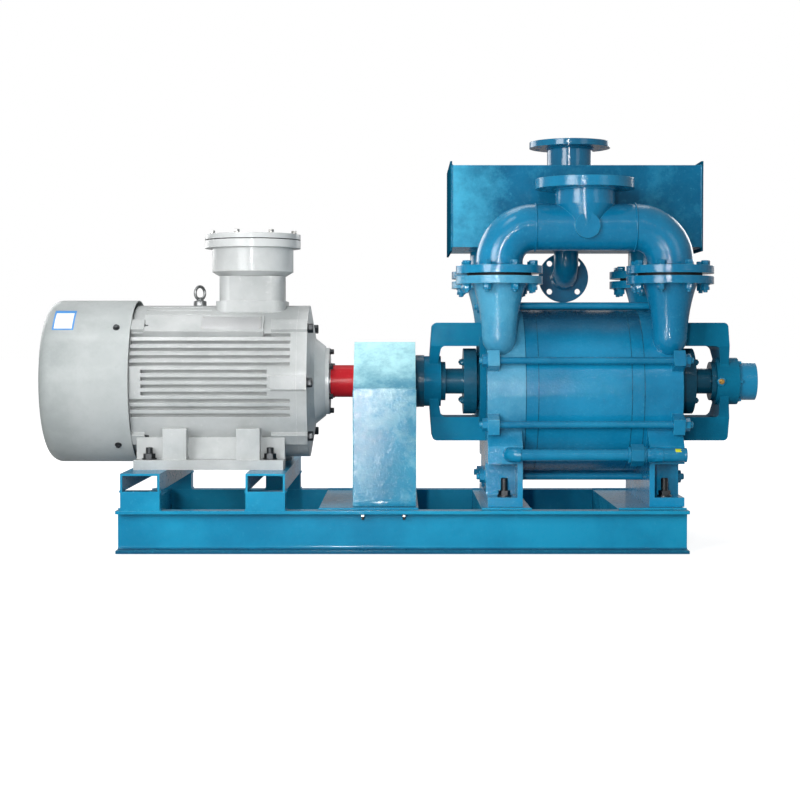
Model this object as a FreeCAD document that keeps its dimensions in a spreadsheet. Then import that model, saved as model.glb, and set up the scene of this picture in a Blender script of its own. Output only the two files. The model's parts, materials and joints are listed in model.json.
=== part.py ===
# Liquid-ring vacuum pump set on a welded channel frame: motor, guarded coupling, pump and separator.
# Millimetres. +X runs along the shaft from the motor to the pump, +Y to the back, +Z up.
# The origin is on the floor, under the middle of the frame.

import FreeCAD
import Part
import Sketcher
import math
import os
from types import SimpleNamespace

Vector = FreeCAD.Vector
Rotation = FreeCAD.Rotation

# The driving dimensions. Each is written once, and every piece takes its size and place from here.
SIZES = {
    # welded frame of two rails, cross members and motor stools
    "base_length": 1600,
    "base_depth": 780,
    "rail_height": 120,
    "rail_flange_width": 53,
    "rail_flange_thickness": 9,
    "rail_web_thickness": 6,
    "anchor_pitch": 1400,
    "anchor_hole_radius": 11,
    "member_thickness": 8,
    "end_member_width": 60,
    "guard_member_start": -237,
    "guard_member_width": 282,
    "pump_member_width": 140,
    "pump_member_overhang": 147,
    "rail_fillet": 8,
    "stool_width": 110,
    "stool_height": 50,
    "stool_wall": 6,
    "packer_height": 54,

    # motor frame and feet
    "motor_centre_height": 250,
    "motor_foot_pitch_x": 349,
    "motor_foot_pitch_y": 406,
    "motor_first_hole": 168,
    "motor_foot_hole_radius": 12,
    "motor_foot_length": 430,
    "motor_foot_thickness": 28,
    "motor_foot_outer": 245,
    "motor_foot_inner": 155,
    "motor_rib_width": 68,
    "motor_rib_height": 90,
    "motor_rib_front": 228,
    "motor_rib_back": 141,
    "motor_rib_inset_fan": 116,
    "motor_rib_inset_drive": 103,
    "motor_skirt_front": 176,
    "motor_skirt_height": 62,
    "frame_radius": 226,
    "frame_bore_radius": 172,
    "frame_root_radius": 198,
    "frame_length": 481,
    "shoulder_to_frame": 92,
    "fin_pitch": 21,
    "fin_gap": 10,
    "fin_gaps_upper": 5,
    "fin_gaps_middle": 4,
    "fin_gaps_lower": 3,
    "fin_end_margin": 18,
    "fin_lug_margin": 84,
    "fin_fan_margin": 34,
    "top_slot_first": 54,
    "top_slot_pitch": 29,
    "top_slots": 3,
    "top_slot_root": 210,
    "top_slot_margin": 12,
    "lug_length": 75,
    "lug_height": 40,
    "lug_reach": 238,
    "fan_lug_length": 38,
    "pad_reach": 233,
    "pad_width": 70,
    "pad_thickness": 24,
    "pad_angle": 47.5,
    "pad_from_fan_end": 35,
    "pad_from_drive_end": 97,

    # inside the motor
    "core_length": 260,
    "core_offset": 206,
    "stator_bore_radius": 115,
    "air_gap": 0.8,
    "winding_radius": 160,
    "winding_bore_radius": 122,
    "winding_overhang": 58,
    "rotor_shaft_radius": 42,

    # shields, bearings and covers of the motor
    "shield_rim": 30,
    "shield_depth": 77,
    "shield_neck_radius": 128,
    "shield_hub_radius": 104,
    "shield_wall": 14,
    "drive_bearing_radius": 80,
    "drive_bearing_bore": 37.5,
    "drive_bearing_width": 33,
    "drive_cover_radius": 99.5,
    "bearing_cover_thickness": 12,
    "fan_shield_radius": 214,
    "fan_shield_depth": 39,
    "fan_shield_hub": 105,
    "fan_bearing_radius": 70,
    "fan_bearing_bore": 32.5,
    "fan_bearing_width": 30,
    "fan_cover_radius": 92,

    # fan and cowl
    "cowl_radius": 241,
    "cowl_length": 263,
    "cowl_rim_radius": 38,
    "cowl_wall": 2.5,
    "grille_slot": 14,
    "grille_pitch": 32,
    "grille_rows": 5,
    "grille_bar": 18,
    "grille_radius": 192,
    "fan_radius": 190,
    "fan_blades": 8,
    "fan_width": 52,
    "fan_hub_radius": 45,
    "fan_blade_thickness": 5,
    "fan_seat_radius": 25,
    "fan_position": 118,

    # terminal box and lifting eye
    "terminal_offset": 236,
    "terminal_neck_length": 189,
    "terminal_neck_width": 180,
    "terminal_neck_rounding": 35,
    "terminal_neck_foot": 9,
    "terminal_neck_foot_height": 12,
    "terminal_neck_top": 312,
    "terminal_drum_radius": 121,
    "terminal_drum_height": 84,
    "terminal_dish_radius": 98,
    "terminal_dish_height": 14,
    "terminal_flange_radius": 142.5,
    "terminal_flange_height": 23,
    "terminal_bore_radius": 110,
    "terminal_floor": 8,
    "terminal_gasket": 3,
    "terminal_cover_height": 15,
    "gland_radius": 24,
    "gland_length": 46,
    "gland_bore_radius": 12,
    "gland_height": 44,
    "eye_offset": 395,
    "eye_boss_radius": 20,
    "eye_boss_height": 16,
    "eye_radius": 24,
    "eye_hole_radius": 15,
    "eye_thickness": 10,
    "eye_turn": 50,

    # shaft ends, pin coupling and guard
    "motor_shaft_radius": 32.5,
    "motor_shaft_extension": 140,
    "motor_shoulder_x": -214,
    "coupling_hub_radius": 48,
    "coupling_flange_radius": 95,
    "coupling_flange_thickness": 36,
    "coupling_gap": 5,
    "coupling_pin_circle": 66,
    "coupling_pin_radius": 10,
    "coupling_pins": 6,
    "coupling_pump_length": 98,
    "guard_left": -141,
    "guard_width": 179,
    "guard_front": 246,
    "guard_fold_drop": 16,
    "guard_top_rise": 117,
    "guard_top_half": 88,
    "guard_sheet": 3,
    "guard_slot_radius": 62,

    # pump: casing stack on the shaft axis
    "pump_x": 525,
    "casing_half_length": 134,
    "casing_radius": 240,
    "casing_bore_radius": 214,
    "eccentricity": 28,
    "port_plate_thickness": 36,
    "cover_half_length": 281,
    "rod_circle": 268,
    "rod_angle": 20,
    "rod_radius": 10,
    "rod_nut_width": 32,
    "rod_nut_height": 16,
    "ear_thickness": 33,
    "ear_width": 46,
    "ear_outer": 290,
    "ear_inner": 222,

    # pump: ports
    "port_x": 246,
    "port_y": 200,
    "port_rise": 337,
    "port_bore_radius": 60,
    "port_neck_radius": 77,
    "neck_waist_radius": 50,
    "neck_waist_rise": 160,
    "neck_flare_arc": 500,
    "neck_tip_radius": 16,
    "neck_tip_rise": 106,
    "neck_tip_arc": 60,
    "throat_radius": 30,
    "well_radius": 24,
    "well_inset": 18,
    "well_top_rise": 190,
    "port_flange_radius": 125,
    "port_flange_thickness": 22,
    "port_joint_gap": 8,
    "port_gasket_radius": 92,
    "window_inner_radius": 100,
    "window_outer_radius": 168,
    "window_half_height": 45,

    # pump: feet and water block
    "foot_inner": 181,
    "foot_front": 260,
    "foot_plate": 26,
    "foot_wall": 15,
    "foot_web_front": 150,
    "foot_hole_y": 210,
    "foot_hole_radius": 11,
    "foot_bolt_radius": 10,
    "foot_bolt_height": 52,
    "foot_nut_width": 30,
    "foot_nut_height": 17,
    "block_rise": 122,
    "block_face_height": 50,
    "block_height": 98,
    "block_back": 170,
    "block_brow": 215,

    # pump: shaft and impeller
    "pump_shaft_radius": 34,
    "sleeve_radius": 38,
    "sleeve_inner": 150,
    "sleeve_outer": 396,
    "pump_bearing_bore": 30,
    "pump_bearing_radius": 55,
    "pump_bearing_width": 28,
    "bearing_centre": 428,
    "impeller_radius": 180,
    "impeller_hub_radius": 72,
    "blade_root_radius": 69,
    "impeller_half_length": 131,
    "impeller_blades": 14,
    "blade_thickness": 7,
    "blade_curve_radius": 105,
    "blade_lean": 22,

    # pump: glands
    "stuffing_radius": 60,
    "stuffing_depth": 66,
    "packing_length": 42,
    "gland_flange_radius": 98,
    "gland_flange_thickness": 38,
    "gland_face": 343,
    "gland_nose_radius": 59.5,
    "gland_shaft_clearance": 1.5,
    "gland_stud_circle": 80,
    "gland_stud_radius": 6,

    # pump: bearing brackets and housings
    "bracket_outer": 436,
    "bracket_wall": 26,
    "bracket_arm_outer": 174,
    "bracket_arm_inner": 105,
    "bracket_half_depth": 86,
    "bracket_corner": 14,
    "bracket_bow": 9,
    "bracket_waist": 52,
    "bracket_waist_depth": 54,
    "bracket_flange_radius": 158,
    "bracket_flange_bore": 104,
    "bracket_flange_thickness": 17,
    "housing_radius": 75,
    "housing_length": 50,
    "boss_length": 67,
    "inner_cap_radius": 58,
    "inner_cap_length": 14,
    "drive_cover_outer_radius": 78,
    "drive_cover_length": 25,
    "boss_radius": 70,
    "end_cap_radius": 57,
    "end_cap_length": 54,
    "end_cap_wall": 8,
    "end_cap_screw_width": 12,
    "end_cap_screw_height": 8,
    "end_cap_screw_rise": 20,

    # suction manifold
    "manifold_leg": 34,
    "manifold_radius": 67.5,
    "manifold_bore_radius": 56,
    "manifold_bend": 100,
    "suction_flange_radius": 143,
    "suction_flange_thickness": 28,
    "suction_rise": 137,
    "suction_neck_radius": 85,
    "suction_bore_radius": 75,
    "suction_bolt_circle": 240,
    "suction_bolt_hole_radius": 11,
    "suction_bolts": 8,
    "funnel_radius": 45,
    "saddle_rise": 64,
    "saddle_tip_rise": 8,
    "saddle_tip_inset": 46,
    "boss_front_radius": 36,
    "boss_front_reach": 82,

    # separator tank, risers, outlet and overflow
    "tank_length": 747,
    "tank_front": 10,
    "tank_depth": 380,
    "riser_length": 89,
    "tank_height": 245,
    "tank_wall": 5,
    "tank_end_overhang": 12,
    "tank_end_thickness": 6,
    "tank_centre_x": 523,
    "riser_radius": 67.5,
    "riser_bore_radius": 60,
    "outlet_x": 520,
    "outlet_radius": 70,
    "outlet_bore_radius": 63,
    "outlet_rise": 89,
    "outlet_flange_radius": 125,
    "outlet_flange_thickness": 18,
    "outlet_bolt_circle": 210,
    "outlet_bolt_hole_radius": 9,
    "outlet_bolts": 8,
    "overflow_x": 510,
    "overflow_drop": 24,
    "overflow_radius": 38,
    "overflow_bore_radius": 33,
    "overflow_bend": 57,
    "overflow_flange_radius": 78,
    "overflow_flange_thickness": 16,
    "overflow_run": 43,
    "overflow_bolt_circle": 125,
    "overflow_bolt_hole_radius": 9,
    "overflow_bolts": 4,

    # working-water pipe along the front
    "water_pipe_radius": 16.85,
    "water_pipe_bore_radius": 13.6,
    "water_pipe_rise": 28,
    "water_pipe_stand_off": 34,
    "water_elbow_radius": 21,
    "water_elbow_bend": 28,
    "water_pipe_start": 190,
    "union_radius": 27,
    "union_length": 36,
    "union_position": 82,
    "valve_radius": 19,
    "valve_length": 118,

    # clearances
    "running_clearance": 0.05,
    "free_clearance": 0.3,
}


class Size:
    """A length that carries both its value and the sheet formula that it comes from."""

    def __init__(self, value, formula):
        self.value = float(value)
        self.formula = formula

    def combine(self, other, sign, swapped=False):
        right = other if isinstance(other, Size) else Size(other, "({:.9g})".format(other))
        first, second = (right, self) if swapped else (self, right)
        results = {
            "+": first.value + second.value,
            "-": first.value - second.value,
            "*": first.value * second.value,
        }
        value = results[sign] if sign in results else first.value / second.value
        return Size(value, "({} {} {})".format(first.formula, sign, second.formula))

    def __add__(self, other):
        return self.combine(other, "+")

    def __radd__(self, other):
        return self.combine(other, "+", swapped=True)

    def __sub__(self, other):
        return self.combine(other, "-")

    def __rsub__(self, other):
        return self.combine(other, "-", swapped=True)

    def __mul__(self, other):
        return self.combine(other, "*")

    def __rmul__(self, other):
        return self.combine(other, "*", swapped=True)

    def __truediv__(self, other):
        return self.combine(other, "/")

    def __neg__(self):
        return self.combine(-1, "*")

    def __float__(self):
        return self.value


def root(size):
    """The square root of a Size."""
    return Size(math.sqrt(size.value), "sqrt({})".format(size.formula))


doc = FreeCAD.newDocument("vacuum_pump_set")
sheet = doc.addObject("Spreadsheet::Sheet", "dims")
for row, (alias, number) in enumerate(SIZES.items(), start=1):
    sheet.set("A{}".format(row), alias)
    sheet.set("B{}".format(row), str(number))
    sheet.setAlias("B{}".format(row), alias)
doc.recompute()
S = SimpleNamespace(**{alias: Size(number, "dims." + alias) for alias, number in SIZES.items()})

# Places that several pieces share, worked out from the sizes.
deck_z = S.rail_height
motor_foot_z = deck_z + S.packer_height + S.stool_height
axis_z = motor_foot_z + S.motor_centre_height
casing_z = axis_z - S.eccentricity
half_depth = S.base_depth / 2
web_back_y = half_depth - S.rail_flange_width

motor_shaft_end = S.motor_shoulder_x + S.motor_shaft_extension
frame_end = S.motor_shoulder_x - S.shoulder_to_frame
frame_start = frame_end - S.frame_length
near_holes_x = S.motor_shoulder_x - S.motor_first_hole
far_holes_x = near_holes_x - S.motor_foot_pitch_x
core_start = frame_end - S.core_offset - S.core_length / 2 - S.winding_overhang / 2
core_end = core_start + S.core_length
drive_shield_face = frame_end + S.shield_depth
fan_shield_face = frame_start - S.fan_shield_depth
terminal_x = frame_end - S.terminal_offset + S.terminal_neck_length / 2

plate_outer = S.casing_half_length + S.port_plate_thickness
ear_start = S.cover_half_length - S.ear_thickness
pump_foot_x = (S.foot_inner + S.cover_half_length) / 2
block_low = deck_z + S.block_rise
water_pipe_z = block_low + S.water_pipe_rise
housing_start = S.bracket_outer - S.bracket_wall
pump_shaft_start = motor_shaft_end + S.coupling_gap
lower_flange_z = casing_z + S.port_rise - S.port_joint_gap / 2
upper_flange_z = lower_flange_z + S.port_joint_gap
manifold_z = upper_flange_z + S.manifold_leg + S.manifold_bend
suction_face_z = manifold_z + S.suction_rise
tank_bottom_z = upper_flange_z + S.riser_length
tank_top_z = tank_bottom_z + S.tank_height
outlet_face_z = tank_top_z + S.outlet_rise
tank_start_x = S.tank_centre_x - S.tank_length / 2
tank_end_x = S.tank_centre_x + S.tank_length / 2
pipe_y = -(S.foot_front + S.water_pipe_stand_off)

UPRIGHT = Rotation()
ALONG_X = Rotation(Vector(0, 1, 0), 90)
ALONG_Y = Rotation(Vector(1, 0, 0), -90)
HALF_TURN = Rotation(Vector(0, 0, 1), 180)

# Angles of the lugs round the motor, from +Y towards +Z. The box and the feet leave no room for the rest.
DRIVE_LUG_ANGLES = (-45, 0, 45, 135, 180, 225)
FAN_LUG_ANGLES = (-45, 45, 135, 225)

finished = []


def bind(obj, **sizes):
    """Give properties their size: a Size is bound to the sheet, and a number is set."""
    for name, size in sizes.items():
        if isinstance(size, Size):
            obj.setExpression(name, size.formula)
            setattr(obj, name, size.value)
        else:
            setattr(obj, name, size)


def place(obj, at, turn=UPRIGHT):
    """Put an object's own origin at a point, with each coordinate bound to the sheet."""
    obj.Placement = FreeCAD.Placement(Vector(*[float(c) for c in at]), turn)
    for axis, coordinate in zip("xyz", at):
        if isinstance(coordinate, Size):
            obj.setExpression("Placement.Base." + axis, coordinate.formula)
    return obj


def box(low, high, label="box"):
    """A block between two corners."""
    obj = doc.addObject("Part::Box", label)
    bind(obj, Length=high[0] - low[0], Width=high[1] - low[1], Height=high[2] - low[2])
    return place(obj, low)


def cylinder(radius, height, at, turn=UPRIGHT, label="cylinder"):
    """A cylinder from its base centre along its turned Z axis."""
    obj = doc.addObject("Part::Cylinder", label)
    bind(obj, Radius=radius, Height=height)
    return place(obj, at, turn)


def cone(low_radius, high_radius, height, at, turn=UPRIGHT, label="cone"):
    obj = doc.addObject("Part::Cone", label)
    bind(obj, Radius1=low_radius, Radius2=high_radius, Height=height)
    return place(obj, at, turn)


def bend(centre_radius, tube_radius, sweep, at, turn=UPRIGHT, label="bend"):
    """A pipe bend: a part of a torus about its turned Z axis."""
    obj = doc.addObject("Part::Torus", label)
    bind(obj, Radius1=centre_radius, Radius2=tube_radius)
    obj.Angle3 = sweep
    return place(obj, at, turn)


def hexagon(across_flats, height, at, turn=UPRIGHT, label="hexagon"):
    obj = doc.addObject("Part::Prism", label)
    obj.Polygon = 6
    bind(obj, Circumradius=across_flats / math.sqrt(3), Height=height)
    return place(obj, at, turn)


def group(pieces, label="group"):
    """Separate solids kept together, such as a set of equal fasteners."""
    obj = doc.addObject("Part::Compound", label)
    obj.Links = pieces
    return obj


def join(pieces, label="join"):
    obj = doc.addObject("Part::MultiFuse", label)
    obj.Shapes = pieces
    obj.Refine = True
    return obj


def cut(base, tools, label="cut"):
    """Take tools that don't touch each other away from a solid."""
    obj = doc.addObject("Part::Cut", label)
    obj.Base = base
    obj.Tool = tools[0] if len(tools) == 1 else group(tools)
    return obj


def tube(radius, bore, height, at, turn=UPRIGHT, label="tube"):
    return cut(cylinder(radius, height, at, turn), [cylinder(bore, height, at, turn)], label)


def radial_box(start_x, length, inner, outer, width, angle, centre_z=axis_z):
    """A block that stands out from an axis along X, at an angle from +Y towards +Z."""
    cosine, sine = math.cos(math.radians(angle)), math.sin(math.radians(angle))
    obj = doc.addObject("Part::Box", "radial_box")
    bind(obj, Length=length, Width=outer - inner, Height=width)
    corner_y = inner * cosine + width * (sine / 2)
    corner_z = inner * sine - width * (cosine / 2)
    return place(obj, (start_x, corner_y, centre_z + corner_z), Rotation(Vector(1, 0, 0), angle))


def piece(obj, node):
    """Name a finished sub-part. The label is also its node's name."""
    obj.Label = node
    finished.append(obj)
    return obj


def around(count, circle, first=0.0):
    """Points evenly round a circle, as pairs of coordinates bound to its radius."""
    points = []
    for number in range(count):
        angle = math.radians(first + 360.0 * number / count)
        points.append((circle * math.cos(angle), circle * math.sin(angle)))
    return points


def new_sketch(body, plane, outline):
    """A closed outline of (x, y) corners. A third value is the radius of an arc to the next corner,
    positive where the arc turns left."""
    sketch = body.newObject("Sketcher::SketchObject", "outline")
    origin = [feature for feature in body.Origin.OriginFeatures if feature.Role == plane][0]
    sketch.AttachmentSupport = [(origin, "")]
    sketch.MapMode = "FlatFace"
    count = len(outline)
    ends = []
    arcs = []
    for number, corner in enumerate(outline):
        after = outline[(number + 1) % count]
        start = Vector(float(corner[0]), float(corner[1]), 0)
        end = Vector(float(after[0]), float(after[1]), 0)
        if len(corner) == 2:
            index = sketch.addGeometry(Part.LineSegment(start, end), False)
            ends.append((index, 1, 2))
            continue
        left = float(corner[2]) > 0
        radius = abs(float(corner[2]))
        chord = end - start
        side = Vector(-chord.y, chord.x, 0).normalize() * (1 if left else -1)
        centre = (start + end) / 2 + side * math.sqrt(radius ** 2 - chord.Length ** 2 / 4)
        first, last = (start, end) if left else (end, start)
        begins = math.atan2(first.y - centre.y, first.x - centre.x)
        stops = math.atan2(last.y - centre.y, last.x - centre.x)
        circle = Part.Circle(centre, Vector(0, 0, 1), radius)
        index = sketch.addGeometry(Part.ArcOfCircle(circle, begins, stops), False)
        ends.append((index, 1, 2) if left else (index, 2, 1))
        arcs.append((index, corner[2] if left else -corner[2]))
    for number in range(count):
        here, after = ends[number], ends[(number + 1) % count]
        sketch.addConstraint(Sketcher.Constraint("Coincident", here[0], here[2], after[0], after[1]))
    for number, corner in enumerate(outline):
        index, start = ends[number][:2]
        for kind, size in (("DistanceX", corner[0]), ("DistanceY", corner[1])):
            rule = sketch.addConstraint(Sketcher.Constraint(kind, -1, 1, index, start, float(size)))
            if isinstance(size, Size):
                sketch.setExpression("Constraints[{}]".format(rule), size.formula)
    for index, radius in arcs:
        rule = sketch.addConstraint(Sketcher.Constraint("Radius", index, float(radius)))
        if isinstance(radius, Size):
            sketch.setExpression("Constraints[{}]".format(rule), radius.formula)
    return sketch


def new_circle(body, plane, radius):
    """A sketch of one circle about the body's own origin."""
    sketch = body.newObject("Sketcher::SketchObject", "circle")
    origin = [feature for feature in body.Origin.OriginFeatures if feature.Role == plane][0]
    sketch.AttachmentSupport = [(origin, "")]
    sketch.MapMode = "FlatFace"
    sketch.addGeometry(Part.Circle(Vector(0, 0, 0), Vector(0, 0, 1), float(radius)), False)
    sketch.addConstraint(Sketcher.Constraint("Coincident", 0, 3, -1, 1))
    rule = sketch.addConstraint(Sketcher.Constraint("Radius", 0, float(radius)))
    sketch.setExpression("Constraints[{}]".format(rule), radius.formula)
    return sketch


def turned(outline, at, upright=False, label="turned"):
    """A body of revolution. The outline is (along, radius) about X, or (radius, up) about Z."""
    body = doc.addObject("PartDesign::Body", label)
    sketch = new_sketch(body, "XZ_Plane", outline)
    feature = body.newObject("PartDesign::Revolution", "revolution")
    feature.Profile = sketch
    feature.ReferenceAxis = (sketch, ["V_Axis" if upright else "H_Axis"])
    feature.Angle = 360
    return place(body, at)


def padded(plane, outline, length, at, rounding=None, label="padded"):
    """A body of one outline, with its edges along the pad rounded where that is asked."""
    body = doc.addObject("PartDesign::Body", label)
    sketch = new_sketch(body, plane, outline)
    pad = body.newObject("PartDesign::Pad", "pad")
    pad.Profile = sketch
    bind(pad, Length=length)
    if rounding:
        doc.recompute()
        normals = {"XY_Plane": Vector(0, 0, 1), "XZ_Plane": Vector(0, 1, 0), "YZ_Plane": Vector(1, 0, 0)}
        radius, wanted = rounding
        names = []
        for number, edge in enumerate(pad.Shape.Edges, start=1):
            direction = edge.Vertexes[-1].Point - edge.Vertexes[0].Point
            lengthwise = direction.Length > 0 and abs(direction.normalize() * normals[plane]) > 0.999
            if lengthwise and wanted(edge.CenterOfMass):
                names.append("Edge{}".format(number))
        fillet = body.newObject("PartDesign::Fillet", "fillet")
        fillet.Base = (pad, names)
        bind(fillet, Radius=radius)
    return place(body, at)


def mirror_ends(build):
    """Build the drive side and then the free side of the pump, with the sign of X for each."""
    for side, name in ((-1, "drive"), (1, "free")):
        build(side, name)


def from_pump(side, distance):
    """An X at a distance from the middle of the pump, on one side of it."""
    return S.pump_x + side * distance


def span(side, near, far):
    """Low and high X of a stretch on one side of the pump's middle."""
    ends = (from_pump(side, near), from_pump(side, far))
    return ends if side > 0 else ends[::-1]


# Welded frame

def rails():
    for side, node in ((-1, "base_front_rail"), (1, "base_rear_rail")):
        back = side * web_back_y
        toe = side * half_depth
        web = side * (web_back_y + S.rail_web_thickness)
        low = S.rail_flange_thickness
        high = S.rail_height - S.rail_flange_thickness
        outline = [(back, 0), (toe, 0), (toe, low), (web, low),
                   (web, high), (toe, high), (toe, S.rail_height), (back, S.rail_height)]
        inside = (half_depth - S.rail_flange_thickness).value
        bar = padded("YZ_Plane", outline, S.base_length, (-S.base_length / 2, 0, 0), rounding=(
            S.rail_fillet, lambda point: abs(point.y) < inside and 0 < point.z < S.rail_height.value
            and abs(point.y) > web_back_y.value))
        hole_y = side * (half_depth - (S.rail_flange_width - S.rail_web_thickness) / 2)
        holes = [cylinder(S.anchor_hole_radius, S.rail_flange_thickness, (x, hole_y, 0))
                 for x in (-S.anchor_pitch / 2, S.anchor_pitch / 2)]
        piece(cut(bar, holes), node)


def cross_members():
    half = S.base_length / 2
    pump_left = S.pump_x - pump_foot_x - S.pump_member_width / 2
    pump_right = S.pump_x + pump_foot_x - S.pump_member_overhang
    stretches = [
        (-half, -half + S.end_member_width),
        (S.guard_member_start, S.guard_member_start + S.guard_member_width),
        (pump_left, pump_left + S.pump_member_width),
        (pump_right, half),
    ]
    wall = S.member_thickness
    members = []
    for start, end in stretches:
        outline = [(start, 0), (start, deck_z), (end, deck_z), (end, 0),
                   (end - wall, 0), (end - wall, deck_z - wall),
                   (start + wall, deck_z - wall), (start + wall, 0)]
        members.append(padded("XZ_Plane", outline, web_back_y * 2, (0, web_back_y, 0)))
    holes = []
    for side in (-1, 1):
        for y in (-S.foot_hole_y, S.foot_hole_y):
            holes.append(cylinder(S.foot_bolt_radius, wall, (from_pump(side, pump_foot_x), y, deck_z - wall)))
    plain = group(members[:2])
    drilled = cut(group(members[2:]), holes)
    piece(group([plain, drilled]), "base_cross_members")


def motor_stools():
    top = motor_foot_z
    under = deck_z + S.packer_height
    wall = S.stool_wall
    channels, packers = [], []
    for x in (far_holes_x, near_holes_x):
        start, end = x - S.stool_width / 2, x + S.stool_width / 2
        outline = [(start, under), (start, top), (end, top), (end, under),
                   (end - wall, under), (end - wall, top - wall),
                   (start + wall, top - wall), (start + wall, under)]
        bar = padded("XZ_Plane", outline, S.base_depth, (0, half_depth, 0))
        holes = [cylinder(S.foot_bolt_radius, wall, (x, y, top - wall))
                 for y in (-S.motor_foot_pitch_y / 2, S.motor_foot_pitch_y / 2)]
        channels.append(cut(bar, holes))
        packers.append(box((start, -half_depth, deck_z), (end, -web_back_y, under)))
        packers.append(box((start, web_back_y, deck_z), (end, half_depth, under)))
    piece(group(channels), "motor_stool_channels")
    piece(group(packers), "motor_stool_packers")


# Motor

def fin_gap_heights():
    """Centre heights, above the shaft axis, of the gaps between side fins, with their group."""
    gaps = []
    total = int(S.fin_gaps_upper.value + S.fin_gaps_middle.value + S.fin_gaps_lower.value)
    for number in range(total):
        height = S.fin_pitch * (int(S.fin_gaps_upper.value) + 1.5 - number)
        from_top = number - int(S.fin_gaps_upper.value)
        if from_top < 0:
            gaps.append((height, "upper"))
        elif from_top < int(S.fin_gaps_middle.value):
            gaps.append((height, "middle"))
        else:
            gaps.append((height, "lower"))
    return gaps


def motor_frame():
    barrel = cylinder(S.frame_radius, S.frame_length, (frame_start, 0, axis_z), ALONG_X)
    cuts = []
    for height, fin_group in fin_gap_heights():
        depth = root(S.frame_root_radius * S.frame_root_radius - height * height)
        start = frame_start + S.fin_fan_margin if fin_group == "middle" else frame_start
        end = frame_end - (S.fin_lug_margin if fin_group == "middle" else S.fin_end_margin)
        low, high = axis_z + height - S.fin_gap / 2, axis_z + height + S.fin_gap / 2
        cuts.append(box((start, -S.frame_radius, low), (end, -depth, high)))
        cuts.append(box((start, depth, low), (end, S.frame_radius, high)))
    slot_start = frame_start + S.fin_fan_margin
    slot_end = terminal_x - S.terminal_neck_length / 2 - S.terminal_neck_foot - S.top_slot_margin
    for number in range(int(S.top_slots.value)):
        offset = S.top_slot_first + S.top_slot_pitch * number
        floor = axis_z + root(S.top_slot_root * S.top_slot_root - offset * offset)
        for middle in (offset, -offset):
            cuts.append(box((slot_start, middle - S.fin_gap / 2, floor),
                            (slot_end, middle + S.fin_gap / 2, axis_z + S.frame_radius)))
    finned = cut(barrel, cuts)
    feet = []
    foot_mid = (near_holes_x + far_holes_x) / 2
    foot_start, foot_end = foot_mid - S.motor_foot_length / 2, foot_mid + S.motor_foot_length / 2
    foot_top = motor_foot_z + S.motor_foot_thickness

    def strip(side, x0, x1, near, far, low, high):
        ends = (near, far) if side > 0 else (-far, -near)
        return box((x0, ends[0], low), (x1, ends[1], high))
    for side in (-1, 1):
        feet.append(strip(side, foot_start, foot_end, S.motor_foot_inner, S.motor_foot_outer,
                          motor_foot_z, foot_top))
        feet.append(strip(side, foot_start, foot_end, S.motor_foot_inner, S.motor_skirt_front,
                          foot_top, foot_top + S.motor_skirt_height))
        for x in (foot_start + S.motor_rib_inset_fan, foot_end - S.motor_rib_inset_drive):
            feet.append(strip(side, x - S.motor_rib_width / 2, x + S.motor_rib_width / 2,
                              S.motor_rib_back, S.motor_rib_front, foot_top, foot_top + S.motor_rib_height))
    lug_root = (S.frame_bore_radius + S.frame_root_radius) / 2
    for angle in DRIVE_LUG_ANGLES:
        feet.append(radial_box(frame_end - S.lug_length, S.lug_length, lug_root, S.lug_reach,
                               S.lug_height, angle))
    for angle in FAN_LUG_ANGLES:
        feet.append(radial_box(frame_start, S.fan_lug_length, lug_root, S.lug_reach, S.lug_height, angle))
    pad_start = frame_start + S.pad_from_fan_end
    pad_end = frame_end - S.pad_from_drive_end
    for angle in (S.pad_angle.value, 180 - S.pad_angle.value):
        feet.append(radial_box(pad_start, pad_end - pad_start, S.pad_reach - S.pad_thickness, S.pad_reach,
                               S.pad_width, angle))
    solid = join([finned] + feet)
    bore = cylinder(S.frame_bore_radius, S.frame_length, (frame_start, 0, axis_z), ALONG_X)
    holes = []
    for x in (far_holes_x, near_holes_x):
        for y in (-S.motor_foot_pitch_y / 2, S.motor_foot_pitch_y / 2):
            holes.append(cylinder(S.motor_foot_hole_radius, S.motor_foot_thickness, (x, y, motor_foot_z)))
    piece(cut(solid, [bore] + holes), "motor_frame")


def motor_inside():
    start = (core_start, 0, axis_z)
    piece(tube(S.frame_bore_radius, S.stator_bore_radius, S.core_length, start, ALONG_X), "stator_core")
    overhang = S.winding_overhang
    rings = [tube(S.winding_radius, S.winding_bore_radius, overhang, (x, 0, axis_z), ALONG_X)
             for x in (core_start - overhang, core_end)]
    piece(group(rings), "stator_windings")
    rotor_radius = S.stator_bore_radius - S.air_gap
    piece(tube(rotor_radius, S.rotor_shaft_radius, S.core_length, start, ALONG_X), "rotor_core")


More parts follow.
